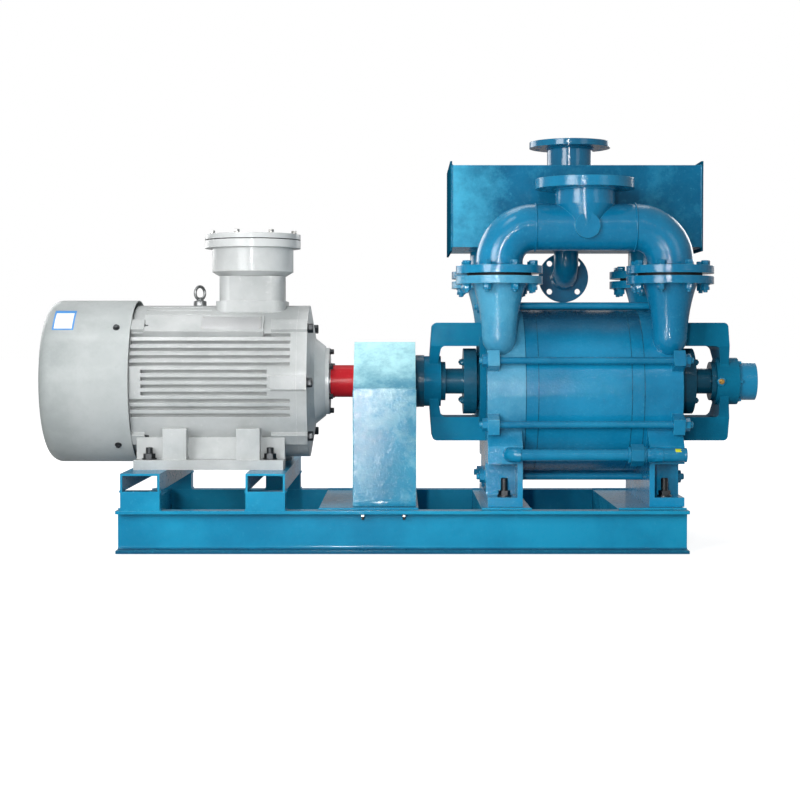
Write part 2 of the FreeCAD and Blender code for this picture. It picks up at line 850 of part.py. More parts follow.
def motor_shields():
    rim, wall, depth = S.shield_rim, S.shield_wall, S.shield_depth
    seat = depth - S.drive_bearing_width
    outline = [(0, S.frame_radius), (rim, S.frame_radius), (depth - rim, S.shield_neck_radius),
               (depth, S.shield_hub_radius), (depth, S.drive_bearing_radius), (seat, S.drive_bearing_radius),
               (seat, S.drive_bearing_radius + wall), (rim - wall / 2, S.frame_radius - 3 * wall),
               (0, S.frame_radius - 3 * wall)]
    bell = turned(outline, (frame_end, 0, axis_z))
    ears = [radial_box(frame_end, rim, S.frame_radius - 2 * wall, S.lug_reach, S.lug_height, angle)
            for angle in DRIVE_LUG_ANGLES]
    piece(join([bell] + ears), "drive_end_shield")
    depth = S.fan_shield_depth
    seat = depth - S.fan_bearing_width
    outline = [(0, S.fan_shield_radius), (-depth / 2, S.fan_shield_radius), (-depth, S.fan_shield_hub),
               (-depth, S.fan_bearing_radius), (-seat, S.fan_bearing_radius),
               (-seat, S.fan_bearing_radius + wall), (-wall / 2, S.frame_bore_radius),
               (0, S.frame_bore_radius)]
    disc = turned(outline, (frame_start, 0, axis_z))
    cowl_bore = S.cowl_radius - S.cowl_wall
    reach = root(cowl_bore * cowl_bore - wall * wall)
    lugs = [radial_box(frame_start - depth / 2, depth / 2, S.fan_shield_radius - wall, reach, 2 * wall, angle)
            for angle in FAN_LUG_ANGLES]
    piece(join([disc] + lugs), "fan_end_shield")


def motor_bearings():
    rings = [
        tube(S.drive_bearing_radius, S.drive_bearing_bore + S.running_clearance, S.drive_bearing_width,
             (drive_shield_face - S.drive_bearing_width, 0, axis_z), ALONG_X),
        tube(S.fan_bearing_radius, S.fan_bearing_bore + S.running_clearance, S.fan_bearing_width,
             (fan_shield_face, 0, axis_z), ALONG_X),
    ]
    piece(group(rings), "motor_bearings")
    thick = S.bearing_cover_thickness
    covers = [
        tube(S.drive_cover_radius, S.drive_bearing_bore + S.free_clearance, thick,
             (drive_shield_face, 0, axis_z), ALONG_X),
        tube(S.fan_cover_radius, S.fan_bearing_bore + S.free_clearance, thick,
             (fan_shield_face - thick, 0, axis_z), ALONG_X),
    ]
    piece(group(covers), "motor_bearing_covers")


def motor_shaft():
    fan_start = fan_shield_face - S.fan_position
    fan_end = fan_start + S.fan_width
    step = S.bearing_cover_thickness
    outline = [
        (fan_start - step, 0), (fan_start - step, S.fan_seat_radius), (fan_end, S.fan_seat_radius),
        (fan_end, S.fan_bearing_bore), (core_start, S.fan_bearing_bore), (core_start, S.rotor_shaft_radius),
        (core_end, S.rotor_shaft_radius), (core_end, S.drive_bearing_bore),
        (S.motor_shoulder_x, S.drive_bearing_bore), (S.motor_shoulder_x, S.motor_shaft_radius),
        (motor_shaft_end, S.motor_shaft_radius), (motor_shaft_end, 0),
    ]
    piece(turned(outline, (0, 0, axis_z)), "motor_shaft")
    hub = tube(S.fan_hub_radius, S.fan_seat_radius, S.fan_width, (fan_start, 0, axis_z), ALONG_X)
    blades = []
    root_radius = S.fan_hub_radius - S.fan_blade_thickness
    for number in range(int(S.fan_blades.value)):
        blades.append(radial_box(fan_start, S.fan_width, root_radius, S.fan_radius, S.fan_blade_thickness,
                                 360.0 * number / int(S.fan_blades.value)))
    piece(join([hub] + blades), "cooling_fan")


def fan_cowl():
    length, radius, wall, rim = S.cowl_length, S.cowl_radius, S.cowl_wall, S.cowl_rim_radius
    outline = [
        (0, radius), (-(length - rim), radius, rim), (-length, radius - rim), (-length, 0),
        (-(length - wall), 0), (-(length - wall), radius - rim, -(rim - wall)),
        (-(length - rim), radius - wall), (0, radius - wall),
    ]
    shell = turned(outline, (frame_start, 0, axis_z))
    rear = frame_start - length
    slots = []
    for row in range(-int(S.grille_rows.value), int(S.grille_rows.value) + 1):
        height = S.grille_pitch * row
        reach = root(S.grille_radius * S.grille_radius - height * height)
        low, high = axis_z + height - S.grille_slot / 2, axis_z + height + S.grille_slot / 2
        slots.append(box((rear, -reach, low), (rear + wall, -S.grille_bar / 2, high)))
        slots.append(box((rear, S.grille_bar / 2, low), (rear + wall, reach, high)))
    piece(cut(shell, slots), "fan_cowl")


def terminal_box():
    length, width = S.terminal_neck_length, S.terminal_neck_width
    neck_z = axis_z + S.frame_root_radius
    drum_z = axis_z + S.terminal_neck_top
    outline = [(-length / 2, -width / 2), (length / 2, -width / 2),
               (length / 2, width / 2), (-length / 2, width / 2)]
    neck = padded("XY_Plane", outline, drum_z - neck_z, (terminal_x, 0, neck_z),
                  rounding=(S.terminal_neck_rounding, lambda point: True))
    wide, deep = length / 2 + S.terminal_neck_foot, width / 2 + S.terminal_neck_foot
    foot_height = axis_z + S.frame_radius + S.terminal_neck_foot_height - neck_z
    foot = padded("XY_Plane", [(-wide, -deep), (wide, -deep), (wide, deep), (-wide, deep)], foot_height,
                  (terminal_x, 0, neck_z), rounding=(S.terminal_neck_rounding, lambda point: True))
    saddle = cylinder(S.frame_radius, length * 2, (terminal_x - length, 0, axis_z), ALONG_X)
    piece(cut(join([neck, foot]), [saddle]), "terminal_box_neck")
    body_height = S.terminal_drum_height + S.terminal_flange_height
    outline = [(0, 0), (S.terminal_dish_radius, 0), (S.terminal_drum_radius, S.terminal_dish_height),
               (S.terminal_drum_radius, S.terminal_drum_height),
               (S.terminal_flange_radius, S.terminal_drum_height), (S.terminal_flange_radius, body_height),
               (S.terminal_bore_radius, body_height), (S.terminal_bore_radius, S.terminal_floor),
               (0, S.terminal_floor)]
    gland_at = (terminal_x, S.terminal_bore_radius - S.terminal_floor, drum_z + S.gland_height)
    drum = turned(outline, (terminal_x, 0, drum_z), upright=True)
    entry = cylinder(S.gland_radius, S.terminal_drum_radius, gland_at, ALONG_Y)
    piece(cut(drum, [entry]), "terminal_box_body")
    gasket_z = drum_z + body_height
    piece(tube(S.terminal_flange_radius, S.terminal_bore_radius, S.terminal_gasket,
               (terminal_x, 0, gasket_z)), "terminal_box_gasket")
    piece(cylinder(S.terminal_flange_radius, S.terminal_cover_height,
                   (terminal_x, 0, gasket_z + S.terminal_gasket)), "terminal_box_cover")
    piece(tube(S.gland_radius, S.gland_bore_radius, S.gland_length, gland_at, ALONG_Y), "cable_gland")


def lifting_eye():
    x = frame_end - S.eye_offset + S.terminal_neck_length / 2
    foot_z = axis_z + S.frame_radius
    centre_z = foot_z + S.eye_boss_height + S.eye_radius
    boss = cylinder(S.eye_boss_radius, S.eye_boss_height * 2, (x, 0, foot_z - S.eye_boss_height))
    saddle = cylinder(S.frame_radius, 4 * S.eye_radius, (x - 2 * S.eye_radius, 0, axis_z), ALONG_X)
    seated = cut(boss, [saddle])
    angle = math.radians(S.eye_turn.value)
    turn = Rotation(Vector(0, 0, 1), S.eye_turn.value) * ALONG_Y
    corner = (x + S.eye_thickness * (math.sin(angle) / 2), -S.eye_thickness * (math.cos(angle) / 2),
              centre_z - S.eye_thickness / 4)
    ring = cylinder(S.eye_radius, S.eye_thickness, corner, turn)
    hole = cylinder(S.eye_hole_radius, S.eye_thickness, corner, turn)
    piece(join([seated, cut(ring, [hole])]), "lifting_eye")


def motor_foot_bolts():
    bolts = []
    wall = S.stool_wall
    foot_top = motor_foot_z + S.motor_foot_thickness
    for x in (far_holes_x, near_holes_x):
        for y in (-S.motor_foot_pitch_y / 2, S.motor_foot_pitch_y / 2):
            low = motor_foot_z - wall
            shank = cylinder(S.foot_bolt_radius, foot_top + 2 * S.foot_nut_height - low, (x, y, low))
            nut = hexagon(S.foot_nut_width, S.foot_nut_height, (x, y, foot_top))
            bolts.append(join([shank, nut]))
    piece(group(bolts), "motor_foot_bolts")


# Coupling and guard

def pin_holes(start, radius):
    return [cylinder(radius, S.coupling_flange_thickness, (start, y, axis_z + z), ALONG_X)
            for y, z in around(int(S.coupling_pins.value), S.coupling_pin_circle)]


def coupling():
    hub, flange, thick = S.coupling_hub_radius, S.coupling_flange_radius, S.coupling_flange_thickness
    start = S.motor_shoulder_x + S.free_clearance
    outline = [(start, S.motor_shaft_radius), (start, hub), (motor_shaft_end - thick, hub),
               (motor_shaft_end - thick, flange), (motor_shaft_end, flange),
               (motor_shaft_end, S.motor_shaft_radius)]
    half = turned(outline, (0, 0, axis_z))
    piece(cut(half, pin_holes(motor_shaft_end - thick, S.coupling_pin_radius)), "motor_half_coupling")
    pin_length = 2 * thick + S.coupling_gap
    pins = [cylinder(S.coupling_pin_radius, pin_length, (motor_shaft_end - thick, y, axis_z + z),
                     ALONG_X)
            for y, z in around(int(S.coupling_pins.value), S.coupling_pin_circle)]
    piece(group(pins), "coupling_pins")
    start = pump_shaft_start
    end = start + S.coupling_pump_length
    outline = [(start, S.pump_bearing_bore), (start, flange), (start + thick, flange), (start + thick, hub),
               (end, hub), (end, S.pump_bearing_bore)]
    half = turned(outline, (0, 0, axis_z))
    piece(cut(half, pin_holes(start, S.coupling_pin_radius + S.free_clearance)), "pump_half_coupling")


def coupling_guard():
    sheet_wall, width = S.guard_sheet, S.guard_width
    front, half = S.guard_front, S.guard_top_half
    fold, top = axis_z - S.guard_fold_drop, axis_z + S.guard_top_rise

    def house(inset):
        return [(-(front - inset), deck_z), (front - inset, deck_z), (front - inset, fold),
                (half - inset / 2, top - inset), (-(half - inset / 2), top - inset), (-(front - inset), fold)]
    shell = padded("YZ_Plane", house(0), width, (S.guard_left, 0, 0))
    room = padded("YZ_Plane", house(sheet_wall), width - 2 * sheet_wall, (S.guard_left + sheet_wall, 0, 0))
    hood = cut(shell, [room])
    slot = S.guard_slot_radius
    mouth = join([cylinder(slot, width, (S.guard_left, 0, axis_z), ALONG_X),
                  box((S.guard_left, -slot, deck_z), (S.guard_left + width, slot, axis_z))])
    piece(cut(hood, [mouth]), "coupling_guard")


# Pump

def tie_rod_points():
    """Rod centres, in pairs about the two cross axes of the casing."""
    points = []
    for quarter in range(4):
        for side in (-1, 1):
            angle = math.radians(90 * quarter + side * S.rod_angle.value)
            points.append((S.rod_circle * math.cos(angle), S.rod_circle * math.sin(angle), angle))
    return points


def casing():
    length = 2 * S.casing_half_length
    start = from_pump(-1, S.casing_half_length)
    piece(tube(S.casing_radius, S.casing_bore_radius, length, (start, 0, casing_z),
               ALONG_X), "pump_casing")


def port_plate(side, name):
    low, high = span(side, S.casing_half_length, plate_outer)
    disc = cylinder(S.casing_radius, S.port_plate_thickness, (low, 0, casing_z), ALONG_X)
    shaft_hole = S.sleeve_radius + S.gland_shaft_clearance
    cuts = [cylinder(shaft_hole, S.port_plate_thickness, (low, 0, axis_z), ALONG_X)]
    for front in (-1, 1):
        ends = (front * S.window_inner_radius, front * S.window_outer_radius)
        low_y, high_y = ends if front > 0 else ends[::-1]
        cuts.append(box((low, low_y, axis_z - S.window_half_height),
                        (high, high_y, axis_z + S.window_half_height)))
    piece(cut(disc, cuts), name + "_port_plate")


def side_cover(side, name):
    low, high = span(side, plate_outer, S.cover_half_length)
    body = [cylinder(S.casing_radius, high - low, (low, 0, casing_z), ALONG_X)]
    ear_low = span(side, ear_start, S.cover_half_length)[0]
    for y, z, angle in tie_rod_points():
        body.append(radial_box(ear_low, S.ear_thickness, S.ear_inner, S.ear_outer, S.ear_width,
                               math.degrees(angle), casing_z))
    port_at_x = from_pump(side, S.port_x)
    flange_low = lower_flange_z - S.port_flange_thickness
    neck_outline = [(0, casing_z + S.neck_tip_rise),
                    (S.neck_tip_radius, casing_z + S.neck_tip_rise, S.neck_tip_arc),
                    (S.neck_waist_radius, casing_z + S.neck_waist_rise, -S.neck_flare_arc),
                    (S.port_neck_radius, flange_low), (0, flange_low)]
    for front in (-1, 1):
        body.append(turned(neck_outline, (port_at_x, front * S.port_y, 0), upright=True))
        body.append(cylinder(S.port_flange_radius, S.port_flange_thickness,
                             (port_at_x, front * S.port_y, flange_low)))
    foot_low, foot_high = span(side, S.foot_inner, S.cover_half_length)
    wall_low, wall_high = span(side, S.foot_inner, S.foot_inner + S.foot_wall)
    foot_top = deck_z + S.foot_plate
    face_top, block_top = block_low + S.block_face_height, block_low + S.block_height
    body.append(box((foot_low, -S.foot_front, deck_z), (foot_high, S.foot_front, foot_top)))
    body.append(box((wall_low, -S.foot_front, foot_top), (wall_high, S.foot_front, block_low)))
    for front in (-1, 1):
        web = sorted((front * S.foot_web_front, front * (S.foot_web_front - S.foot_wall)), key=float)
        body.append(box((foot_low, web[0], foot_top), (foot_high, web[1], casing_z)))
        outline = [(front * S.block_back, block_low), (front * S.foot_front, block_low),
                   (front * S.foot_front, face_top), (front * S.block_brow, block_top),
                   (front * S.block_back, block_top)]
        if front < 0:
            outline = outline[::-1]
        body.append(padded("YZ_Plane", outline, foot_high - foot_low, (foot_low, 0, 0)))
    shaft_hole = S.sleeve_radius + S.gland_shaft_clearance
    box_low = span(side, S.cover_half_length - S.stuffing_depth, S.cover_half_length)[0]
    cuts = [join([cylinder(shaft_hole, high - low, (low, 0, axis_z), ALONG_X),
                  cylinder(S.stuffing_radius, S.stuffing_depth, (box_low, 0, axis_z), ALONG_X)])]
    duct_low, duct_high = span(side, plate_outer, S.port_x)
    throat_z = casing_z + S.neck_waist_rise
    for front in (-1, 1):
        well_y = front * (S.port_y - S.well_inset)
        mouth = cylinder(S.port_bore_radius, S.port_flange_thickness,
                         (port_at_x, front * S.port_y, flange_low))
        throat = cone(S.throat_radius, S.port_bore_radius, flange_low - throat_z,
                      (port_at_x, front * S.port_y, throat_z))
        well = cylinder(S.well_radius, casing_z + S.well_top_rise - axis_z, (port_at_x, well_y, axis_z))
        ends = sorted((well_y - S.well_radius, well_y + S.well_radius), key=float)
        duct = box((duct_low, ends[0], axis_z), (duct_high, ends[1], axis_z + S.window_half_height))
        cuts.append(join([mouth, throat, well, duct]))
        cuts.append(cylinder(S.foot_hole_radius, S.foot_plate,
                             (from_pump(side, pump_foot_x), front * S.foot_hole_y, deck_z)))
    rod_low, rod_high = span(side, S.foot_inner, S.cover_half_length)
    for y, z, _ in tie_rod_points():
        cuts.append(cylinder(S.rod_radius, rod_high - rod_low, (rod_low, y, casing_z + z), ALONG_X))
    piece(cut(join(body), cuts), name + "_side_cover")


def tie_rods():
    rods = []
    reach = S.cover_half_length
    for y, z, _ in tie_rod_points():
        at_z = casing_z + z
        shank = cylinder(S.rod_radius, 2 * reach, (from_pump(-1, reach), y, at_z), ALONG_X)
        nuts = [hexagon(S.rod_nut_width, S.rod_nut_height, (x, y, at_z), ALONG_X)
                for x in (from_pump(-1, reach) - S.rod_nut_height, from_pump(1, reach))]
        rods.append(join([shank] + nuts))
    piece(group(rods), "tie_rods")


def pump_foot_bolts():
    bolts = []
    foot_top = deck_z + S.foot_plate
    for side in (-1, 1):
        for y in (-S.foot_hole_y, S.foot_hole_y):
            x = from_pump(side, pump_foot_x)
            low = deck_z - S.member_thickness
            shank = cylinder(S.foot_bolt_radius, foot_top + S.foot_bolt_height - low, (x, y, low))
            nut = hexagon(S.foot_nut_width, S.foot_nut_height, (x, y, foot_top))
            bolts.append(join([shank, nut]))
    piece(group(bolts), "pump_foot_bolts")


def pump_rotor():
    seat_end = from_pump(1, S.bearing_centre + S.pump_bearing_width)
    outline = [
        (pump_shaft_start, 0), (pump_shaft_start, S.pump_bearing_bore),
        (from_pump(-1, S.sleeve_outer), S.pump_bearing_bore),
        (from_pump(-1, S.sleeve_outer), S.pump_shaft_radius),
        (from_pump(1, S.sleeve_outer), S.pump_shaft_radius),
        (from_pump(1, S.sleeve_outer), S.pump_bearing_bore),
        (seat_end, S.pump_bearing_bore), (seat_end, 0),
    ]
    piece(turned(outline, (0, 0, axis_z)), "pump_shaft")
    sleeves = []
    for side in (-1, 1):
        low, high = span(side, S.sleeve_inner, S.sleeve_outer)
        sleeves.append(tube(S.sleeve_radius, S.pump_shaft_radius, high - low, (low, 0, axis_z), ALONG_X))
    piece(group(sleeves), "shaft_sleeves")


def impeller():
    """Hub with forward-curved blades, made as one pad of a curved blade and a polar pattern."""
    body = doc.addObject("PartDesign::Body", "impeller")
    length = 2 * S.impeller_half_length
    hub = new_circle(body, "YZ_Plane", S.impeller_hub_radius)
    hub_pad = body.newObject("PartDesign::Pad", "hub")
    hub_pad.Profile = hub
    bind(hub_pad, Length=length)
    lean = math.radians(S.blade_lean.value)
    root_y = S.blade_root_radius
    tip_y, tip_z = S.impeller_radius * math.cos(lean), S.impeller_radius * math.sin(lean)
    thick_y, thick_z = S.blade_thickness * math.sin(lean), S.blade_thickness * math.cos(lean)
    blade = new_sketch(body, "YZ_Plane", [
        (root_y, 0, S.blade_curve_radius), (tip_y, tip_z),
        (tip_y - thick_y, tip_z + thick_z, -(S.blade_curve_radius - S.blade_thickness)),
        (root_y, S.blade_thickness)])
    blade_pad = body.newObject("PartDesign::Pad", "blade")
    blade_pad.Profile = blade
    bind(blade_pad, Length=length)
    blades = body.newObject("PartDesign::PolarPattern", "blades")
    blades.Originals = [blade_pad]
    x_axis = [feature for feature in body.Origin.OriginFeatures if feature.Role == "X_Axis"][0]
    blades.Axis = (x_axis, [""])
    blades.Angle = 360
    blades.Occurrences = int(S.impeller_blades.value)
    body.Tip = blades
    bore = new_circle(body, "YZ_Plane", S.pump_shaft_radius)
    pocket = body.newObject("PartDesign::Pocket", "bore")
    pocket.Profile = bore
    pocket.Reversed = True
    bind(pocket, Length=length)
    body.Tip = pocket
    place(body, (from_pump(-1, S.impeller_half_length), 0, axis_z))
    piece(body, "impeller")


def glands():
    followers, packing = [], []
    for side in (-1, 1):
        flange_low = span(side, S.gland_face - S.gland_flange_thickness, S.gland_face)[0]
        nose_start = S.cover_half_length - S.stuffing_depth + S.packing_length
        nose_low, nose_high = span(side, nose_start, S.gland_face - S.gland_flange_thickness)
        bore = S.sleeve_radius + S.free_clearance
        solid = join([
            cylinder(S.gland_flange_radius, S.gland_flange_thickness, (flange_low, 0, axis_z), ALONG_X),
            cylinder(S.gland_nose_radius, nose_high - nose_low, (nose_low, 0, axis_z), ALONG_X)])
        low, high = span(side, nose_start, S.gland_face)
        stud_low, stud_high = span(side, S.cover_half_length, S.gland_face - S.gland_flange_thickness)
        studs = [cylinder(S.gland_stud_radius, stud_high - stud_low, (stud_low, 0, axis_z + offset), ALONG_X)
                 for offset in (-S.gland_stud_circle, S.gland_stud_circle)]
        hollow = cut(solid, [cylinder(bore, high - low, (low, 0, axis_z), ALONG_X)])
        followers.append(join([hollow] + studs))
        low, high = span(side, S.cover_half_length - S.stuffing_depth, nose_start)
        packing.append(tube(S.stuffing_radius, S.sleeve_radius + S.running_clearance, S.packing_length,
                            (low, 0, axis_z), ALONG_X))
    piece(group(followers), "gland_followers")
    piece(group(packing), "gland_packing")


def bearing_bracket(side, name):
    """A yoke: two arms from the side cover, and a bowed wall that carries the bearing housing."""
    near, far = S.cover_half_length, S.bracket_outer
    flange_low = span(side, near, near + S.bracket_flange_thickness)[0]
    inner = far - S.bracket_wall
    bowed_inner, bowed_far = inner + S.bracket_bow, far + S.bracket_bow
    arm, window, waist = S.bracket_arm_outer, S.bracket_arm_inner, S.bracket_waist
    outline = [(side * near, -arm), (side * far, -arm), (side * bowed_far, -waist), (side * bowed_far, waist),
               (side * far, arm), (side * near, arm), (side * near, window), (side * inner, window),
               (side * bowed_inner, waist), (side * bowed_inner, -waist), (side * inner, -window),
               (side * near, -window)]
    if side < 0:
        outline = outline[::-1]
    beyond, above = (near + S.bracket_flange_thickness).value, ((waist + window) / 2).value
    yoke = padded("XZ_Plane", outline, 2 * S.bracket_half_depth, (S.pump_x, S.bracket_half_depth, axis_z),
                  rounding=(S.bracket_corner, lambda point: abs(point.x) > beyond and abs(point.z) > above))
    depth, waist_depth = S.bracket_half_depth, S.bracket_waist_depth
    wall_low, wall_high = span(side, inner, bowed_far)
    notches = []
    for front in (-1, 1):
        outline = [(front * depth, -window), (front * depth, window),
                   (front * waist_depth, waist), (front * waist_depth, -waist)]
        if front < 0:
            outline = outline[::-1]
        notches.append(padded("YZ_Plane", outline, wall_high - wall_low, (wall_low, 0, axis_z)))
    yoke = cut(yoke, notches)
    radius, length = (S.housing_radius, S.housing_length) if side < 0 else (S.boss_radius, S.boss_length)
    low, high = span(side, housing_start, housing_start + length)
    flange = tube(S.bracket_flange_radius, S.bracket_flange_bore, S.bracket_flange_thickness,
                  (flange_low, 0, axis_z), ALONG_X)
    body = join([yoke, flange, cylinder(radius, high - low, (low, 0, axis_z), ALONG_X)])
    bore = cylinder(S.pump_bearing_radius, high - low, (low, 0, axis_z), ALONG_X)
    piece(cut(body, [bore]), name + "_bearing_bracket")


def pump_bearings():
    rings, inner_caps = [], []
    for side in (-1, 1):
        bearing_low = S.bearing_centre - S.pump_bearing_width / 2
        low, high = span(side, bearing_low, bearing_low + S.pump_bearing_width)
        rings.append(tube(S.pump_bearing_radius, S.pump_bearing_bore + S.running_clearance,
                          S.pump_bearing_width, (low, 0, axis_z), ALONG_X))
        spigot_low, spigot_high = span(side, housing_start, bearing_low)
        rim_low = span(side, housing_start - S.inner_cap_length, housing_start)[0]
        low, high = span(side, housing_start - S.inner_cap_length, bearing_low)
        spigot = spigot_high - spigot_low
        cap = join([cylinder(S.pump_bearing_radius, spigot, (spigot_low, 0, axis_z), ALONG_X),
                    cylinder(S.inner_cap_radius, S.inner_cap_length, (rim_low, 0, axis_z), ALONG_X)])
        inner_caps.append(cut(cap, [cylinder(S.pump_bearing_bore + S.free_clearance, high - low,
                                             (low, 0, axis_z), ALONG_X)]))
    piece(group(rings), "pump_bearings")
    piece(group(inner_caps), "inner_bearing_caps")
    outer = housing_start + S.housing_length
    low, high = span(-1, outer, outer + S.drive_cover_length)
    piece(tube(S.drive_cover_outer_radius, S.pump_bearing_bore + S.free_clearance, high - low,
               (low, 0, axis_z), ALONG_X), "drive_bearing_cover")
    outer = housing_start + S.boss_length
    low, high = span(1, outer, outer + S.end_cap_length)
    cap = cylinder(S.end_cap_radius, high - low, (low, 0, axis_z), ALONG_X)
    room = cylinder(S.end_cap_radius - S.end_cap_wall, high - low - S.end_cap_wall, (low, 0, axis_z), ALONG_X)
    screw = hexagon(S.end_cap_screw_width, S.end_cap_screw_height,
                    (high, 0, axis_z + S.end_cap_screw_rise), ALONG_X)
    piece(cut(join([cap, screw]), [room]), "free_end_cap")


# Suction manifold, discharge and separator

def arch(radius, reach, label):
    """The arch pipe of the manifold: two legs, two bends and the run between them."""
    height, turn_radius = manifold_z, S.manifold_bend
    left, right = from_pump(-1, S.port_x), from_pump(1, S.port_x)
    y = -S.port_y
    leg = height - turn_radius - reach
    return join([
        cylinder(radius, leg, (left, y, reach)),
        cylinder(radius, leg, (right, y, reach)),
        cylinder(radius, right - left - 2 * turn_radius, (left + turn_radius, y, height), ALONG_X),
        bend(turn_radius, radius, 90, (left + turn_radius, y, height - turn_radius),
             Rotation(Vector(1, 0, 0), 90) * Rotation(Vector(0, 0, 1), 90)),
        bend(turn_radius, radius, 90, (right - turn_radius, y, height - turn_radius),
             Rotation(Vector(1, 0, 0), 90)),
    ], label)


def ring(radius, at):
    """A level circle, as a section of a loft."""
    obj = doc.addObject("Part::Circle", "ring")
    bind(obj, Radius=radius)
    return place(obj, at)


def flange_holes(circle, count, radius, thickness, centre):
    holes = []
    for x, y in around(count, circle / 2, 180.0 / count):
        holes.append(cylinder(radius, thickness, (centre[0] + x, centre[1] + y, centre[2])))
    return holes


def suction_manifold():
    y, neck_x = -S.port_y, S.pump_x
    flange_low = suction_face_z - S.suction_flange_thickness
    solid = [arch(S.manifold_radius, upper_flange_z, "arch")]
    for side in (-1, 1):
        solid.append(cylinder(S.port_flange_radius, S.port_flange_thickness,
                              (from_pump(side, S.port_x), y, upper_flange_z)))
    saddle_z = manifold_z + S.saddle_rise
    keel = doc.addObject("Part::Loft", "keel")
    tip_z = manifold_z + S.saddle_tip_rise
    keel.Sections = [ring(S.suction_neck_radius, (neck_x, y, saddle_z)),
                     ring(S.boss_front_radius, (neck_x, y - S.saddle_tip_inset, tip_z))]
    keel.Solid = True
    keel.Ruled = True
    solid.append(keel)
    solid.append(cylinder(S.suction_neck_radius, flange_low - saddle_z, (neck_x, y, saddle_z)))
    solid.append(cylinder(S.suction_flange_radius, S.suction_flange_thickness, (neck_x, y, flange_low)))
    solid.append(cylinder(S.boss_front_radius, S.boss_front_reach,
                          (neck_x, y - S.boss_front_reach, manifold_z), ALONG_Y))
    neck_bore = cylinder(S.suction_bore_radius, suction_face_z - saddle_z, (neck_x, y, saddle_z))
    funnel = cone(S.funnel_radius, S.suction_bore_radius, S.saddle_rise, (neck_x, y, manifold_z))
    hollow = join([arch(S.manifold_bore_radius, upper_flange_z, "arch_bore"), funnel, neck_bore])
    holes = flange_holes(S.suction_bolt_circle, int(S.suction_bolts.value), S.suction_bolt_hole_radius,
                         S.suction_flange_thickness, (neck_x, y, flange_low))
    piece(cut(join(solid), [hollow] + holes), "suction_manifold")


def port_gaskets():
    rings = []
    for side in (-1, 1):
        for front in (-1, 1):
            rings.append(tube(S.port_gasket_radius, S.port_bore_radius, S.port_joint_gap,
                              (from_pump(side, S.port_x), front * S.port_y, lower_flange_z)))
    piece(group(rings), "port_gaskets")


def discharge_risers():
    risers = []
    for side in (-1, 1):
        x = from_pump(side, S.port_x)
        solid = join([
            cylinder(S.port_flange_radius, S.port_flange_thickness, (x, S.port_y, upper_flange_z)),
            cylinder(S.riser_radius, tank_bottom_z - upper_flange_z, (x, S.port_y, upper_flange_z))])
        bore = cylinder(S.riser_bore_radius, tank_bottom_z - upper_flange_z, (x, S.port_y, upper_flange_z))
        risers.append(cut(solid, [bore]))
    piece(group(risers), "discharge_risers")


def separator_tank():
    back = S.tank_front + S.tank_depth
    wall = S.tank_wall
    outer = box((tank_start_x, S.tank_front, tank_bottom_z), (tank_end_x, back, tank_top_z))
    room = box((tank_start_x, S.tank_front + wall, tank_bottom_z + wall),
               (tank_end_x, back - wall, tank_top_z - wall))
    shell = cut(outer, [room])
    holes = [cylinder(S.riser_bore_radius, wall, (from_pump(side, S.port_x), S.port_y, tank_bottom_z))
             for side in (-1, 1)]
    holes.append(cylinder(S.overflow_bore_radius, wall, (S.overflow_x, S.port_y, tank_bottom_z)))
    holes.append(cylinder(S.outlet_bore_radius, wall, (S.outlet_x, S.port_y, tank_top_z - wall)))
    piece(cut(shell, holes), "separator_tank")
    over, thick = S.tank_end_overhang, S.tank_end_thickness
    ends = []
    for start in (tank_start_x - thick, tank_end_x):
        ends.append(box((start, S.tank_front, tank_bottom_z - over),
                        (start + thick, back, tank_top_z + over)))
    piece(group(ends), "separator_end_plates")


def separator_outlet():
    at = (S.outlet_x, S.port_y)
    flange_low = outlet_face_z - S.outlet_flange_thickness
    height = outlet_face_z - tank_top_z
    solid = join([
        cylinder(S.outlet_radius, height, (at[0], at[1], tank_top_z)),
        cylinder(S.outlet_flange_radius, S.outlet_flange_thickness, (at[0], at[1], flange_low))])
    bore = cylinder(S.outlet_bore_radius, height, (at[0], at[1], tank_top_z))
    holes = flange_holes(S.outlet_bolt_circle, int(S.outlet_bolts.value), S.outlet_bolt_hole_radius,
                         S.outlet_flange_thickness, (at[0], at[1], flange_low))
    piece(cut(solid, [bore] + holes), "separator_outlet")


def overflow_elbow():
    """A pipe from the tank's floor that bends to the back and ends in a flange."""
    turn_z = tank_bottom_z - S.overflow_drop
    turn_y = S.port_y + S.overflow_bend
    height = turn_z - S.overflow_bend
    face_y = turn_y + S.overflow_run
    about_z = Rotation(Vector(0, 0, 1), 90)
    down_and_back = about_z * Rotation(Vector(1, 0, 0), 90) * HALF_TURN

    def run(radius):
        return join([
            cylinder(radius, S.overflow_drop, (S.overflow_x, S.port_y, turn_z)),
            bend(S.overflow_bend, radius, 90, (S.overflow_x, turn_y, turn_z), down_and_back),
            cylinder(radius, S.overflow_run, (S.overflow_x, turn_y, height), ALONG_Y)])
    flange_y = face_y - S.overflow_flange_thickness
    plate = cylinder(S.overflow_flange_radius, S.overflow_flange_thickness,
                     (S.overflow_x, flange_y, height), ALONG_Y)
    holes = []
    for x, z in around(int(S.overflow_bolts.value), S.overflow_bolt_circle / 2, 45):
        holes.append(cylinder(S.overflow_bolt_hole_radius, S.overflow_flange_thickness,
                              (S.overflow_x + x, flange_y, height + z), ALONG_Y))
    piece(cut(join([run(S.overflow_radius), plate]), [run(S.overflow_bore_radius)] + holes), "overflow_elbow")


